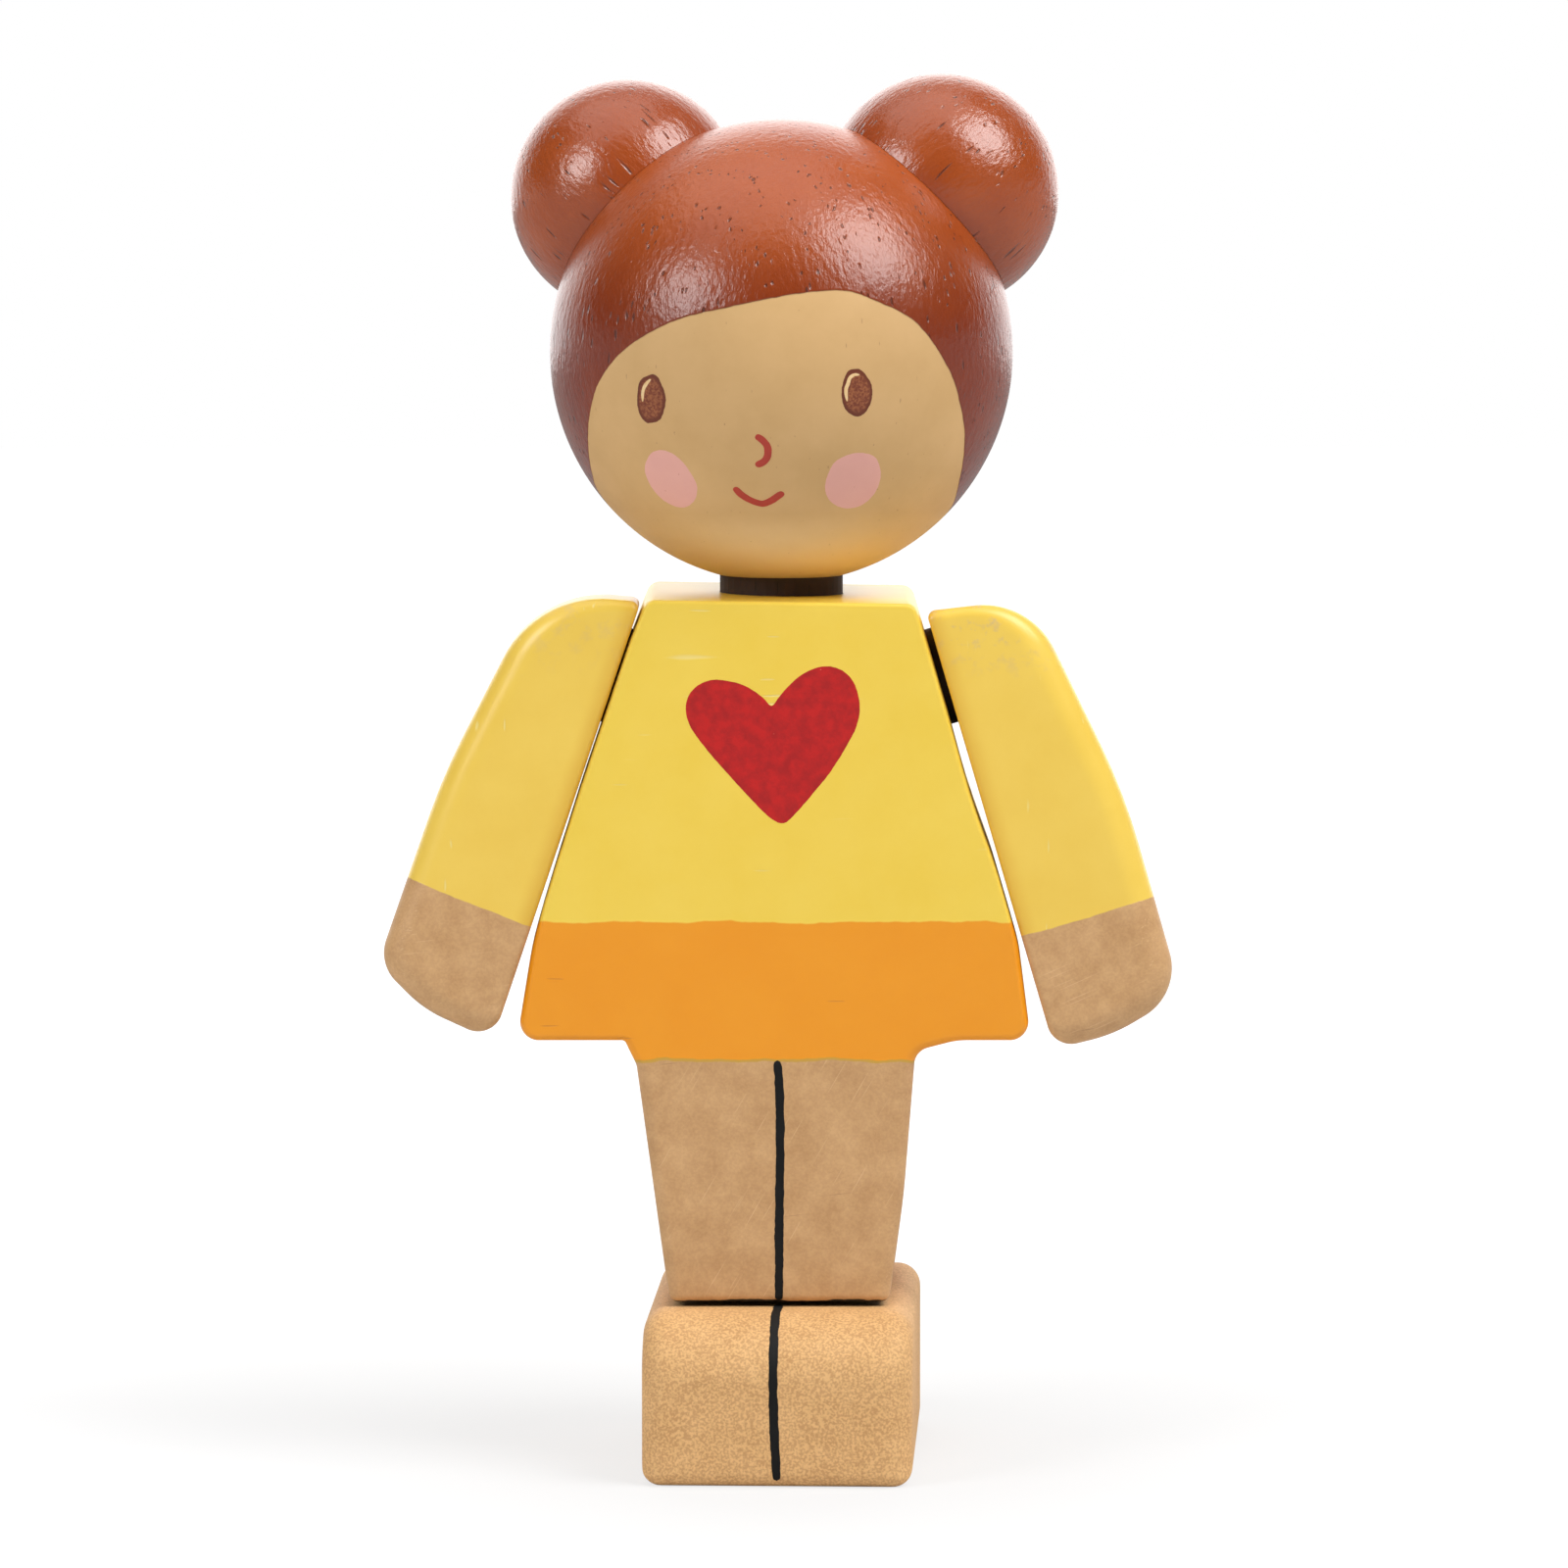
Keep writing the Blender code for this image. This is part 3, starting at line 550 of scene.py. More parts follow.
heart_ink, tree, spot = new_finish("Red screen-print ink")
cloud = add(tree, "TexNoise", spot, Scale=1 / 0.9, Detail=4.0, Roughness=0.7)
red = add(tree, "Mix.RGBA", add(tree, "MapRange", cloud, From_Min=0.38, From_Max=0.62), "a80c0f", "c31110")
pinholes = add(tree, "TexVoronoi", spot, Scale=1 / 0.5)
rare = add(tree, "Math.LESS_THAN", add(tree, "SeparateColor", pinholes.outputs["Color"]), 0.05)
hole = add(tree, "MapRange", pinholes, From_Min=0.16, From_Max=0.1)
pinhole = add(tree, "Math.MULTIPLY", hole, rare)
ink = add(tree, "Mix.RGBA", pinhole, red, "e0705a")
surfaced(tree, ink, 0.6, cloud, 0.02 * MM, ior=1.45)

HEART = [(-0.64, 49.62), (-1.12, 50.1), (-1.72, 50.58), (-2.5, 51.02), (-3.4, 51.27), (-4.4, 51.38),
         (-5.38, 51.1), (-6.08, 50.42), (-6.33, 49.42), (-6.1, 48.42), (-5.58, 47.56), (-4.62, 46.33),
         (-3.4, 44.95), (-2.06, 43.48), (-0.72, 42.17), (0.18, 41.82), (1.0, 42.5), (2.07, 43.73),
         (3.07, 44.95), (3.83, 46.09), (4.69, 47.57), (5.08, 48.5), (5.22, 49.49), (5.08, 50.54), (4.62, 51.5),
         (3.82, 52.12), (2.7, 52.26), (1.4, 51.74), (0.38, 50.84), (-0.2, 50.14)]
painted("heart", [(x, -10, z) for x, z in HEART], paint_patch, board, "dress_and_feet", closed=True,
        Centre=Vector((-0.4, -10, 47.5)) * MM, Waver=0.04 * MM, Thickness=0.02 * MM, Paint=heart_ink)

line_ink, tree, spot = new_finish("Black brushed ink")
black = two_toned(tree, spot, 0.8, "060606", "0d0d0e", detail=3.0, span=(0.4, 0.7))
surfaced(tree, black, 0.7, ior=1.4)

LEG_LINE = [(-0.27, -10, 26.8), (-0.14, -10, 25.2), (-0.08, -10, 20.7), (-0.14, -10, 16.2),
            (-0.14, -10, 12.6), (-0.14, -10, 11.2)]
TOE_LINE = [(-0.2, -9.1, 10.85), (-0.22, -10.1, 10.85), (-0.3, -11.5, 10.83), (-0.42, -13.1, 10.29),
            (-0.47, -14.2, 9.35), (-0.52, -15.0, 7.9), (-0.52, -15.2, 5.7), (-0.45, -15.2, 3.5),
            (-0.33, -15.2, 1.2), (-0.3, -15.0, 0.5)]
for name, path, piece, width in (("leg_line", LEG_LINE, board, 0.6), ("toe_line", TOE_LINE, feet, 0.62)):
    painted(name, path, brush_stroke, piece, "dress_and_feet", Width=width * MM, Blunt=40.0,
            Waver=0.12 * MM, Thickness=0.02 * MM, Paint=line_ink)


# ---------------------------------------------------------------- Neck dowel, pegs and hidden dowels
# Stock dowels from the lathe: the neck and the shoulder pegs are near-black brown and matt, so that the
# joints look like shadow. The four 4 mm dowels in the glued joints are bare beech and never seen.


def dowel_finish(name, pore_sizes, grain, first, second, detail, pore_colour, relief):
    """Turned wood in two tones, with pores along the dowel of a length, a width and a share."""
    finish, tree, spot = new_finish(name)
    along_dowel = add(tree, "Mapping", spot, Rotation=(0, math.pi / 2, 0))
    pores = add(tree, open_grain, along_dowel, *pore_sizes)
    tone = two_toned(tree, spot, grain, first, second, detail)
    surfaced(tree, add(tree, "Mix.RGBA", pores, tone, pore_colour), 0.7, pores, relief)
    return finish


dark_matt_dowel = dowel_finish("Dark matt dowel", (1.6, 0.12, 0.12), 1.5, "2a170c", "3d2413", 3.0,
                             "120904", -0.03 * MM)
bare_beech = dowel_finish("Bare turned beech", (1.0, 0.08, 0.3), 1.2, "d9b68c", "cda678", 2.0,
                          "a67c50", -0.02 * MM)
for node, finish in (("neck_dowel", dark_matt_dowel), ("left_shoulder_peg", dark_matt_dowel),
                     ("right_shoulder_peg", dark_matt_dowel), ("left_bun_dowel", bare_beech),
                     ("right_bun_dowel", bare_beech), ("left_foot_dowel", bare_beech),
                     ("right_foot_dowel", bare_beech)):
    for material_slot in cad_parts[node].material_slots:
        material_slot.material = finish


# ---------------------------------------------------------------- Arms
# Two boards, 11 mm thick, cut to a rounded sleeve and hand and rounded over almost to a half circle on
# the outside. The sleeve has the dress's yellow paint, and the hand the legs' tan, up to a brushed line.


def arm_paint(name, shoulder, slant, edge_place, edge_slope, scratch_slope, wear):
    """The two paints of an arm, which meet on a line through edge_place, in mm, with a worn shoulder.

    A painted shade, a darker gold, runs along the inner face where the dress shades it; its distance is
    measured from the shoulder.
    """
    finish, tree, spot = new_finish(name)
    at = add(tree, "SeparateXYZ", spot)
    out = add(tree, "Math.SUBTRACT", at.outputs["X"], edge_place[0])
    rise = add(tree, "Math.MULTIPLY_ADD", out, -edge_slope, at.outputs["Z"])
    wave = add(tree, "TexNoise", spot, Scale=1 / 3, Detail=3.0, Roughness=0.6)
    level = add(tree, "Math.MULTIPLY_ADD", wave, 0.4, rise)
    in_sleeve = add(tree, "MapRange", level, From_Min=edge_place[1] + 0.16, From_Max=edge_place[1] + 0.24)
    lengthwise = add(tree, "Mapping", spot, Rotation=(0, math.pi / 2, 0))
    # The yellow's pale pore colour is painted highlight, for light caught on the pores' rims, over slightly
    # paler paint in them.
    yellow = add(tree, satin_paint, lengthwise, "ecc650", "f0cc58", "f4e08e", 1.8, 0.26, 0.05, 0.006)
    tan = add(tree, tan_paint, spot, scratch_slope, 0.4, 0.12)
    scuff = add(tree, "TexNoise", spot, Scale=1 / 1.1, Detail=4.0, Roughness=0.65)
    upper = add(tree, "MapRange", at.outputs["Z"], From_Min=51.0, From_Max=55.0)
    worn = add(tree, "Math.MULTIPLY", upper,
               add(tree, "MapRange", scuff, From_Min=0.52, From_Max=0.66, To_Max=wear))
    sleeve = add(tree, "Mix.RGBA", worn, yellow, "cdb08a")
    side = math.copysign(1, shoulder[0])
    from_shoulder = add(tree, "VectorMath.SUBTRACT", spot, (shoulder[0], 0, shoulder[1]))
    outward = add(tree, "VectorMath.DOT_PRODUCT", from_shoulder,
                  (side * math.cos(slant), 0, math.sin(slant))).outputs["Value"]
    # Painted shade: a darker gold along the inner face, where the dress shades the arm's rounded rim.
    shade_from_dress = add(tree, "Mix.RGBA",
                 add(tree, "MapRange.SMOOTHSTEP", outward, From_Min=0.2, From_Max=1.6, To_Min=0.75, To_Max=0.0),
                 sleeve, "dcaa36")
    colour = add(tree, "Mix.RGBA", in_sleeve, tan, shade_from_dress)
    height = add(tree, "Mix.FLOAT", in_sleeve, tan.outputs["Height"], yellow.outputs["Height"])
    gloss = add(tree, "MapRange", in_sleeve, To_Min=0.5, To_Max=0.34)
    surfaced(tree, colour, gloss, height)
    return finish


ARM_THICKNESS = 11
ARM_EASINGS = [0.35, 1.6, 1.8, 1.8, 1.8, 0.7]   # the inner face first and the top last


def arm_mesh(name, shoulder, slant, facing, clearance, fall, corners):
    """An arm cut to (out, up, radius) corners from its inner face and its peg.

    The clearance parts it from the dress. Its top was sanded off towards the back, by a fall in mm that
    starts at the shoulder and is full 4 mm above it and 9 mm behind its front rim.
    """
    place = Matrix.Translation((shoulder[0], SHOULDER_Y, shoulder[1]))
    place @= Euler((0, -slant, facing)).to_matrix().to_4x4()
    corners = [(clearance + out, up, radius) for out, up, radius in corners]
    mesh = eased_board(name, corners, ARM_EASINGS, ARM_THICKNESS, place)
    down = place.to_3x3() @ Vector((0, 0, -1))      # within the inner face's plane, so that the gap stays even
    for point in mesh.vertices:
        above = min(max((point.co.z / MM - shoulder[1]) / 4, 0), 1)
        point.co += down * fall * MM * above * min(max((point.co.y / MM + 8.5) / 9, 0), 1)
    mesh.update()
    return mesh


# For each arm: where it turns, its mesh's settings, and the place, slope and wear of its paints.
for side, shoulder, slant, facing, clearance, fall, corners, paints in (
        ("right", right_shoulder, RIGHT_SLANT, math.pi, 0.2, 0.35,
         [(0, 5.32, 0.5), (0, -24.56, 1.7), (4.93, -24.05, 8), (8.57, -22.21, 2.6), (8.45, -9.38, 40),
          (6.49, 3.75, 7.15)], ((-20.19, 36.97), -0.384, 0.1, 0.25)),
        ("left", left_shoulder, LEFT_SLANT, 0, 0.25, 0.85,
         [(0, 4.62, 0.5), (0, -24.81, 1.7), (3.95, -25.0, 10), (8.84, -23.74, 3.6), (8.92, -10.26, 40),
          (6.61, 3.49, 5.2)], ((19.6, 35.97), 0.296, 0.42, 0.8))):
    mesh = arm_mesh(f"{side}_arm_board", shoulder, slant, facing, clearance, fall, corners)
    finish = arm_paint(f"Yellow sleeve and tan hand, {side} arm", shoulder, slant, *paints)
    add_piece(f"{side}_arm_board", mesh, finish, f"{side}_arm", f"{side}_arm")


# ---------------------------------------------------------------- Head
# A turned ball, 30 mm, glued on the neck dowel and turned a little to the doll's right. The chestnut hair
# is thick glossy lacquer down to a brushed hairline, and the face inside it is matt tan paint.

HEAD_RADIUS = 15
HEAD_CENTRE = Vector((0, 0, 71.8))
HEAD_TURN = Matrix.Rotation(math.radians(-5.4), 4, "Z")
BUN_RADIUS = 7.65
BUN_DISTANCE = 14.93
bun_seat = (BUN_DISTANCE ** 2 + HEAD_RADIUS ** 2 - BUN_RADIUS ** 2) / (2 * BUN_DISTANCE)
bun_turns = {}
for side, height, sweep in (("left", 43.9, 20), ("right", 41.9, 160)):
    tilt = Euler((0, math.radians(90 - height), math.radians(sweep)))
    bun_turns[side] = HEAD_TURN @ tilt.to_matrix().to_4x4()


def turned(name, profile, segments, place):
    """A turned form from (radius, height) points in mm, from one end of its axis to the other."""
    points, rows = [], []
    for radius, height in profile:
        count = segments if radius > 0 else 1
        rows.append(range(len(points), len(points) + count))
        for i in range(count):
            angle = 2 * math.pi * i / segments
            points.append(place @ Vector((radius * math.cos(angle), radius * math.sin(angle), height)) * MM)
    faces = []
    for low, high in zip(rows, rows[1:]):
        for i in range(segments):
            corners = [low[i % len(low)], low[(i + 1) % len(low)], high[(i + 1) % len(high)],
                       high[i % len(high)]]
            faces.append(tuple(dict.fromkeys(corners)))
    return finished_mesh(name, points, faces)


def on_face(longitude, latitude):
    """A point on the head, in mm, by its angles from the middle of the face to the doll's left and up."""
    lon, lat = math.radians(longitude), math.radians(latitude)
    forward = Vector((math.cos(lat) * math.sin(lon), -math.cos(lat) * math.cos(lon), math.sin(lat)))
    return HEAD_CENTRE + HEAD_TURN @ (forward * HEAD_RADIUS)


ball = [(HEAD_RADIUS * math.sin(math.radians(a)), -HEAD_RADIUS * math.cos(math.radians(a)))
        for a in np.linspace(0, 180, 97)]
ball[0], ball[-1] = (0, -HEAD_RADIUS), (0, HEAD_RADIUS)
head_mesh = turned("head", ball, 192, Matrix.Translation(HEAD_CENTRE))
work = bmesh.new()
work.from_mesh(head_mesh)
for turn in bun_turns.values():
    axis = turn.to_3x3() @ Vector((0, 0, 1))
    seat = (HEAD_CENTRE + axis * (bun_seat - 0.01)) * MM
    cut = bmesh.ops.bisect_plane(work, geom=[*work.verts, *work.edges, *work.faces], plane_co=seat,
                                 plane_no=axis, clear_outer=True)["geom_cut"]
    rim = [edge for edge in cut if isinstance(edge, bmesh.types.BMEdge)]
    flat = bmesh.ops.contextual_create(work, geom=rim)
    for face in flat["faces"]:
        face.smooth = False
bmesh.ops.recalc_face_normals(work, faces=work.faces)
work.to_mesh(head_mesh)
work.free()
head_mesh.set_sharp_from_angle(angle=SHARP)

# The hairline, by the same angles, goes on behind the neck under the chin. Each point of the head keeps
# its distance to it in mm, positive on the face, measured on a chart laid flat round the face's middle.
HAIRLINE = [(-74.4, -37.7), (-66.6, -31.7), (-55.2, -18.9), (-49.0, -10.3), (-44.0, -4.6), (-37.8, 0.6),
            (-31.3, 4.7), (-22.8, 8.6), (-15.0, 10.9), (-6.3, 12.8), (1.9, 14.5), (10.5, 16.0), (20.0, 16.7),
            (25.8, 15.4), (32.7, 12.7), (38.9, 9.7), (43.0, 6.1), (47.4, 1.1), (52.5, -5.5), (56.4, -12.1),
            (60.7, -18.7), (65.1, -25.9), (71.2, -33.8), (88.1, -44.4), (108, -57), (140, -70), (180, -75),
            (-140, -70), (-100, -55)]


def face_chart(points):
    """Points of the head, in mm, laid flat round the middle of the face, keeping their distance to it."""
    middle = (on_face(0, -12) - HEAD_CENTRE).normalized()
    across = Vector((0, 0, 1)).cross(middle).normalized() * -1
    up = middle.cross(across) * -1
    ways = np.array(points) - np.array(HEAD_CENTRE)
    ways /= np.linalg.norm(ways, axis=1)[:, None]
    angle = np.arccos(np.clip(ways @ np.array(middle), -1, 1))
    flat = np.stack([ways @ np.array(across), ways @ np.array(up)], axis=1)
    length = np.maximum(np.linalg.norm(flat, axis=1), 1e-9)
    return flat / length[:, None] * (angle * HEAD_RADIUS)[:, None]


def smooth_loop(points, steps):
    """A closed smooth curve through the points, as a Catmull-Rom spline."""
    before, after, beyond = np.roll(points, 1, 0), np.roll(points, -1, 0), np.roll(points, -2, 0)
    parts = []
    for t in np.arange(steps) / steps:
        parts.append(0.5 * (2 * points + (after - before) * t
                            + (2 * before - 5 * points + 4 * after - beyond) * t ** 2
                            + (3 * points - before - 3 * after + beyond) * t ** 3))
    return np.stack(parts, axis=1).reshape(-1, 2)


hairline = smooth_loop(face_chart([on_face(*angles) for angles in HAIRLINE]), 8)
spots = np.zeros(len(head_mesh.vertices) * 3)
head_mesh.vertices.foreach_get("co", spots)
spots = face_chart(spots.reshape(-1, 3) / MM)
start, end = hairline[None], np.roll(hairline, -1, 0)[None]
way = end - start
share = np.clip(((spots[:, None] - start) * way).sum(2) / (way ** 2).sum(2), 0, 1)
distance = np.linalg.norm(spots[:, None] - start - way * share[..., None], axis=2).min(1)
spans = (start[..., 1] > spots[:, 1:]) != (end[..., 1] > spots[:, 1:])
rise = np.where(way[..., 1] == 0, 1e-12, way[..., 1])
crossing = start[..., 0] + (spots[:, 1:] - start[..., 1]) / rise * way[..., 0]
inside_face = (spans & (crossing > spots[:, :1])).sum(1) % 2 == 1
head_mesh.attributes.new("face_edge", "FLOAT", "POINT").data.foreach_set(
    "value", np.where(inside_face, distance, -distance).astype(np.float32))

# Chestnut lacquer on open grain, for the hair of the head and the buns. Grain is in mm with X along it; the
# pores are fewer in the rings' late wood, so that they lie in arcs where the end of the grain shows.
tree, given = new_tree("chestnut lacquer on ringed wood", "ShaderNodeTree",
                       {"Grain": "Vector", "Ring Centre": "Vector", "Pore Length": 1.3, "Pore Share": 0.1,
                        "Light": 0.5}, {"Colour": "Color", "Height": "Float"})
from_pith = add(tree, "VectorMath.SUBTRACT", given["Grain"], given["Ring Centre"])
from_pith = add(tree, "VectorMath.MULTIPLY", from_pith, (0.06, 1, 1))
radius = add(tree, "VectorMath.LENGTH", from_pith)
uneven = add(tree, "TexNoise", given["Grain"], Scale=1 / 6, Detail=2.0)
year = add(tree, "Math.MULTIPLY_ADD", uneven, 3.0, radius)
phase = add(tree, "Math.SINE", add(tree, "Math.MULTIPLY", year, 2 * math.pi / 2.4))
early = add(tree, "MapRange", phase, From_Min=-0.6, From_Max=0.8)
pore_share = add(tree, "Math.MULTIPLY", early, given["Pore Share"])
thick = add(tree, "Mix.RGBA", given["Light"], "752706", "a44918")
thin = add(tree, "Mix.RGBA", given["Light"], "7f2f0a", "ae521d")
lacquer = add(tree, satin_paint, given["Grain"], thick, thin, "3a1206", given["Pore Length"], 0.27, pore_share,
              0.07, 0.05)
add(tree, "GroupOutput", lacquer, lacquer.outputs["Height"])
hair_paint = tree

head_paint, tree, spot = new_finish("Chestnut lacquer and matt face paint on a turned ball")
edge = add(tree, "Attribute", {"attribute_name": "face_edge"}).outputs["Fac"]
wave = add(tree, "TexNoise", spot, Scale=1 / 0.9, Detail=3.0)
brushed_edge = add(tree, "Math.MULTIPLY_ADD", wave, 0.16, edge)
on_the_face = add(tree, "MapRange", brushed_edge, From_Min=0.05, From_Max=0.11)
step = add(tree, "MapRange.SMOOTHSTEP", brushed_edge, From_Min=-0.05, From_Max=0.2)
upright = add(tree, "Mapping", spot, Rotation=(0, math.pi / 2, 0))
up_head = add(tree, "SeparateXYZ", spot).outputs["Z"]
# Painted light: the hair's lacquer is made lighter towards the crown, where the light from above falls on it.
upper = add(tree, "MapRange.SMOOTHSTEP", up_head, From_Min=72.0, From_Max=84.0)
hair = add(tree, hair_paint, upright, (0, -26, 14), 1.0, 1.0, upper)
skin = two_toned(tree, spot, 4, "c9a169", "d0a871", detail=4.0, roughness=0.6, span=(0.35, 0.68))
# Painted light: the skin turns lighter and golden towards the bottom of the chin, for light bounced up from the
# dress.
bounce_light_under_chin = add(tree, "MapRange", up_head, From_Min=61.8, From_Max=57.2)
skin = add(tree, "Mix.RGBA", bounce_light_under_chin, skin, "f4d29a")
pits = add(tree, open_grain, upright, 0.5, 0.11, 0.02)
pitted = add(tree, "Mix.RGBA", add(tree, "Math.MULTIPLY", pits, 0.5), skin, "8a6238")
skin_relief = add(tree, "TexNoise", spot, Scale=1 / 0.6, Detail=2.0)
skin_height = add(tree, "Math.MULTIPLY", skin_relief, 0.006)
colour = add(tree, "Mix.RGBA", on_the_face, hair, pitted)
height = add(tree, "Mix.FLOAT", on_the_face, hair.outputs["Height"], skin_height)
stepped = add(tree, "Math.MULTIPLY_ADD", step, -0.04, height)
gloss = add(tree, "MapRange", on_the_face, To_Min=0.3, To_Max=0.66)
lacquered = add(tree, "MapRange", on_the_face, To_Min=0.22, To_Max=0.0)
surfaced(tree, colour, gloss, stepped, Coat_Weight=lacquered, Coat_Roughness=0.15)
head = add_piece("head", head_mesh, head_paint, "head", "head_ball")


# ---------------------------------------------------------------- Painted face
# Everything on the face is brushed on by hand over the matt tan paint: two oval brown eyes with a pale
# glint, a red hook for the nose, a red smile and two pink cheeks. It is a plain doll's face.

# For each, its centre and its outline, and the path of an eye's glint, by the same angles as the hairline.
EYES = {
    "right": ((-28.6, -9.7),
        [(-27.3, -3.7), (-25.8, -4.6), (-24.9, -6.4), (-24.4, -7.4), (-24.0, -9.1), (-24.2, -11.0),
         (-25.4, -13.9), (-26.9, -15.6), (-29.7, -16.3), (-31.2, -16.1), (-32.7, -14.4), (-33.1, -11.7),
         (-32.8, -9.3), (-32.0, -6.3), (-30.8, -4.9), (-29.2, -4.2)],
        [(-28.1, -5.2), (-29.3, -6.1), (-30.4, -7.5), (-30.9, -9.0), (-31.1, -10.7)]),
    "left": ((24.3, -8.0),
        [(23.7, -2.2), (25.1, -2.6), (26.7, -4.2), (27.9, -6.1), (28.3, -8.3), (28.2, -10.5), (27.2, -12.8),
         (26.1, -13.9), (24.6, -14.4), (22.7, -13.7), (21.1, -12.2), (20.3, -10.1), (20.1, -8.0),
         (20.2, -6.3), (20.7, -4.5), (21.7, -2.7)],
        [(24.6, -3.9), (23.3, -3.9), (22.2, -4.6), (21.7, -6.1), (21.3, -7.3), (21.4, -8.8), (21.7, -10.3)]),
}
CHEEKS = {
    "right": ((-28.4, -31.5),
        [(-32.1, -23.9), (-27.9, -22.7), (-23.7, -24.2), (-20.8, -27.9), (-19.4, -32.7), (-21.2, -36.9),
         (-25.6, -39.8), (-30.2, -40.0), (-34.7, -37.3), (-36.6, -32.8), (-35.9, -28.0)]),
    "left": ((26.5, -31.9),
        [(31.2, -24.4), (33.7, -27.4), (35.0, -31.3), (34.6, -35.4), (31.7, -39.1), (26.3, -40.2),
         (20.9, -38.2), (18.0, -34.2), (18.0, -29.6), (19.9, -25.5), (24.0, -23.5), (27.8, -23.3)]),
}
NOSE = [(-1.2, -18.9), (0.3, -19.8), (1.6, -21.3), (1.9, -23.0), (1.5, -24.8), (0.2, -26.1), (-1.6, -26.8)]
MOUTH = [(-8.3, -33.1), (-6.9, -35.0), (-4.6, -36.7), (-2.4, -37.7), (-0.2, -38.1), (2.2, -37.2), (4.2, -35.9),
         (6.0, -34.5)]

eye_brown, tree, spot = new_finish("Brown brushed paint")
edge = add(tree, "Attribute", {"attribute_name": "edge"}).outputs["Fac"]
iris = two_toned(tree, spot, 0.16, "74331a", "9c5a32", span=(0.4, 0.65))
outlined = add(tree, "MapRange", edge, From_Min=0.74, From_Max=0.84)
brown = add(tree, "Mix.RGBA", outlined, iris, "6a2c12")
surfaced(tree, brown, 0.45)

glint_cream, tree, spot = new_finish("Cream brushed paint")
surfaced(tree, two_toned(tree, spot, 0.3, "d9a860", "f4dcae"), 0.45)

line_red, tree, spot = new_finish("Red brushed paint")
surfaced(tree, two_toned(tree, spot, 0.4, "a52c20", "bb3a24", detail=3.0), 0.45)

cheek_pink, tree, spot = new_finish("Pink dabbed paint")
rose = two_toned(tree, spot, 1.2, "dda096", "e3aa9c", detail=4.0)
pits = add(tree, open_grain, spot, 0.3, 0.12, 0.02)
pink = add(tree, "Mix.RGBA", add(tree, "Math.MULTIPLY", pits, 0.6), rose, "b5695c")
surfaced(tree, pink, 0.5)

for side, (middle, outline) in CHEEKS.items():
    painted(f"{side}_cheek", [on_face(*angles) for angles in anticlockwise(outline)], paint_patch, head, "head",
            closed=True, Centre=on_face(*middle) * MM, Waver=0.04 * MM, Thickness=0.012 * MM, Paint=cheek_pink)
for side, (middle, outline, glint) in EYES.items():
    eye = painted(f"{side}_eye", [on_face(*angles) for angles in anticlockwise(outline)], paint_patch, head,
                  "head", closed=True, Centre=on_face(*middle) * MM, Waver=0.05 * MM, Thickness=0.018 * MM,
                  Paint=eye_brown)
    painted(f"{side}_eye_glint", [on_face(*angles) for angles in glint], brush_stroke, eye, "head",
            Width=0.26 * MM, Blunt=3.0, Waver=0.03 * MM, Thickness=0.012 * MM, Paint=glint_cream)
for name, path, width, blunt in (("nose", NOSE, 0.52, 12.0), ("mouth", MOUTH, 0.56, 14.0)):
    painted(name, [on_face(*angles) for angles in path], brush_stroke, head, "head", Width=width * MM,
            Blunt=blunt, Waver=0.04 * MM, Thickness=0.02 * MM, Paint=line_red)


# ---------------------------------------------------------------- Hair buns
# Two turned balls, 15 mm, each faced off flat and glued and dowelled to a flat on the head. They are
# dipped in the same chestnut lacquer, and their grain runs along the dowel, so that it points at the head.

for side, turn in bun_turns.items():
    start_angle = math.acos((BUN_DISTANCE - bun_seat - 0.01) / BUN_RADIUS)
    arc = [(BUN_RADIUS * math.sin(a), BUN_DISTANCE - BUN_RADIUS * math.cos(a))
           for a in np.linspace(start_angle, math.pi, 72)]
    arc[-1] = (0, BUN_DISTANCE + BUN_RADIUS)
    bun_mesh = turned(f"{side}_hair_bun", [(0, arc[0][1])] + arc, 144, Matrix.Translation(HEAD_CENTRE) @ turn)
    bun_lacquer, tree, spot = new_finish(f"Chestnut lacquer on the {side} bun")
    axis = turn.to_3x3() @ Vector((0, 0, 1))
    radial = add(tree, "Mapping", spot, Rotation=axis.rotation_difference(Vector((1, 0, 0))).to_euler())
    hair = add(tree, hair_paint, radial, (0, -6, 9), 2.4, 1.0, 0.7)
    surfaced(tree, hair, 0.3, hair.outputs["Height"], Coat_Weight=0.5, Coat_Roughness=0.15)
    add_piece(f"{side}_hair_bun", bun_mesh, bun_lacquer, "head", f"{side}_bun")


# ---------------------------------------------------------------- Floor, light and camera
# A plain white table, a softbox overhead and one at each side, and a bright backdrop behind the doll. The
# camera sees table and room as white. The gloss sees the backdrop, a dark room and a dimmer table.

floor_mesh = bpy.data.meshes.new("floor")
FLOOR_HALF = 1.5
floor_mesh.from_pydata([(x * FLOOR_HALF, y * FLOOR_HALF, 0) for x, y in ((-1, -1), (1, -1), (1, 1), (-1, 1))],
                       [], [(0, 1, 2, 3)])
floor = in_scene("floor", floor_mesh)
white_table = bpy.data.materials.new("White table")
tree = emptied(white_table)
ray = add(tree, "LightPath")
seen = add(tree, "Math.MAXIMUM", ray.outputs["Is Camera Ray"],
           add(tree, "Math.MAXIMUM", ray.outputs["Is Glossy Ray"], ray.outputs["Is Transmission Ray"]))
from_doll = add(tree, "VectorMath.LENGTH", add(tree, "TexCoord").outputs["Object"])
level = add(tree, "MapRange", from_doll, From_Min=0.02, From_Max=0.12, To_Min=0.72, To_Max=1.0)
level = add(tree, "Math.MULTIPLY", level,
            add(tree, "Math.MULTIPLY_ADD", ray.outputs["Is Glossy Ray"], -0.7, 1.0))
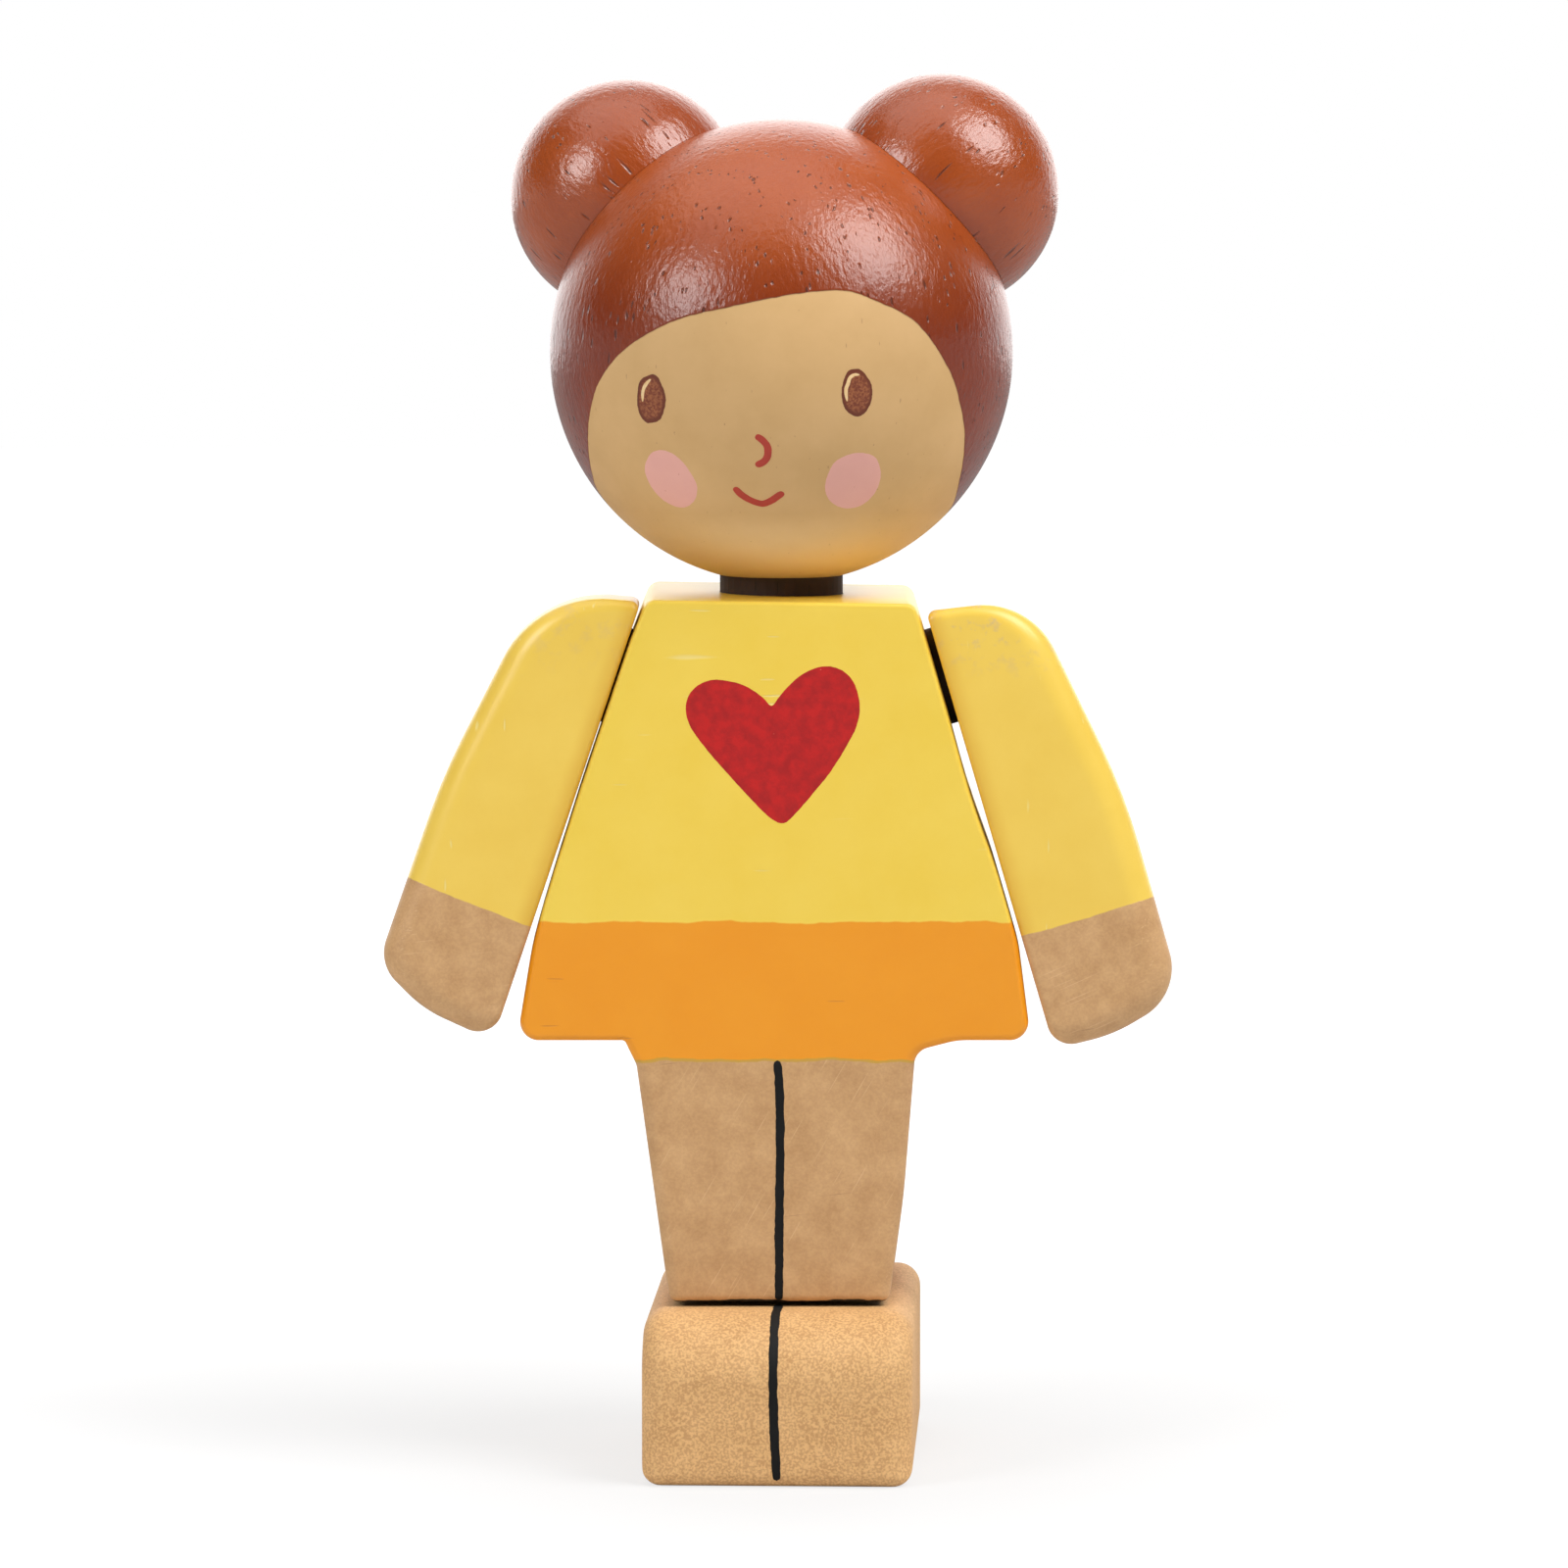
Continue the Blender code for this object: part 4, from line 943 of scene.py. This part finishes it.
shadow_catcher = add(tree, "AddShader", add(tree, "Emission", (1, 1, 1, 1), level),
                     add(tree, "BsdfDiffuse", (0.2, 0.2, 0.2, 1)))
bounce = add(tree, "BsdfDiffuse", (0.72, 0.72, 0.72, 1))
add(tree, "OutputMaterial", add(tree, "MixShader", seen, bounce, shadow_catcher))
floor_mesh.materials.append(white_table)

world = bpy.data.worlds.new("White room")
bpy.context.scene.world = world
tree = emptied(world)
ray = add(tree, "LightPath")
look = add(tree, "SeparateXYZ", add(tree, "TexCoord").outputs["Generated"])
backdrop = add(tree, "MapRange", look.outputs["Y"], From_Min=0.55, From_Max=0.88, To_Min=0.03, To_Max=2.2)
low_glow = add(tree, "MapRange", look.outputs["Z"], From_Min=0.16, From_Max=0.0, To_Min=0.0, To_Max=0.8)
room = add(tree, "Math.MAXIMUM", backdrop, low_glow)
seen = add(tree, "Math.MAXIMUM", ray.outputs["Is Camera Ray"], ray.outputs["Is Transmission Ray"])
level = add(tree, "Mix.FLOAT", seen, room, 1.0)
add(tree, "OutputWorld", add(tree, "Background", (1, 1, 1, 1), level))

# Each softbox: compass angle from straight in front of the doll to the viewer's right, height angle,
# distance and width in metres, and power.
middle = Vector((0, 0, 50)) * MM
for name, round_angle, up_angle, away, width, power in (("overhead_softbox", -87, 81, 0.6, 0.6, 1.5),
                                                        ("right_softbox", 62.6, 49, 0.6, 0.36, 3.45),
                                                        ("left_softbox", -53, 30, 0.6, 0.23, 1.58)):
    lamp = bpy.data.lights.new(name, "AREA")
    lamp.shape = "SQUARE"
    lamp.size = width
    lamp.energy = power
    softbox = in_scene(name, lamp)
    a, e = math.radians(round_angle), math.radians(up_angle)
    way = Vector((math.sin(a) * math.cos(e), -math.cos(a) * math.cos(e), math.sin(e)))
    softbox.location = middle + way * away
    softbox.rotation_euler = way.to_track_quat("Z", "Y").to_euler()

CAMERA_DISTANCE = 0.5
camera_data = bpy.data.cameras.new("camera")
camera_data.lens = 176.3
camera_data.sensor_width = 36
camera_data.clip_start = 0.01
camera = in_scene("camera", camera_data)
pitch = math.radians(5)
target = Vector((0.17, 0, 43.68)) * MM
camera.location = target + Vector((0, -math.cos(pitch), math.sin(pitch))) * CAMERA_DISTANCE
camera.rotation_euler = (math.pi / 2 - pitch, 0, 0)
bpy.context.scene.camera = camera
bpy.context.scene.view_settings.view_transform = "Standard"
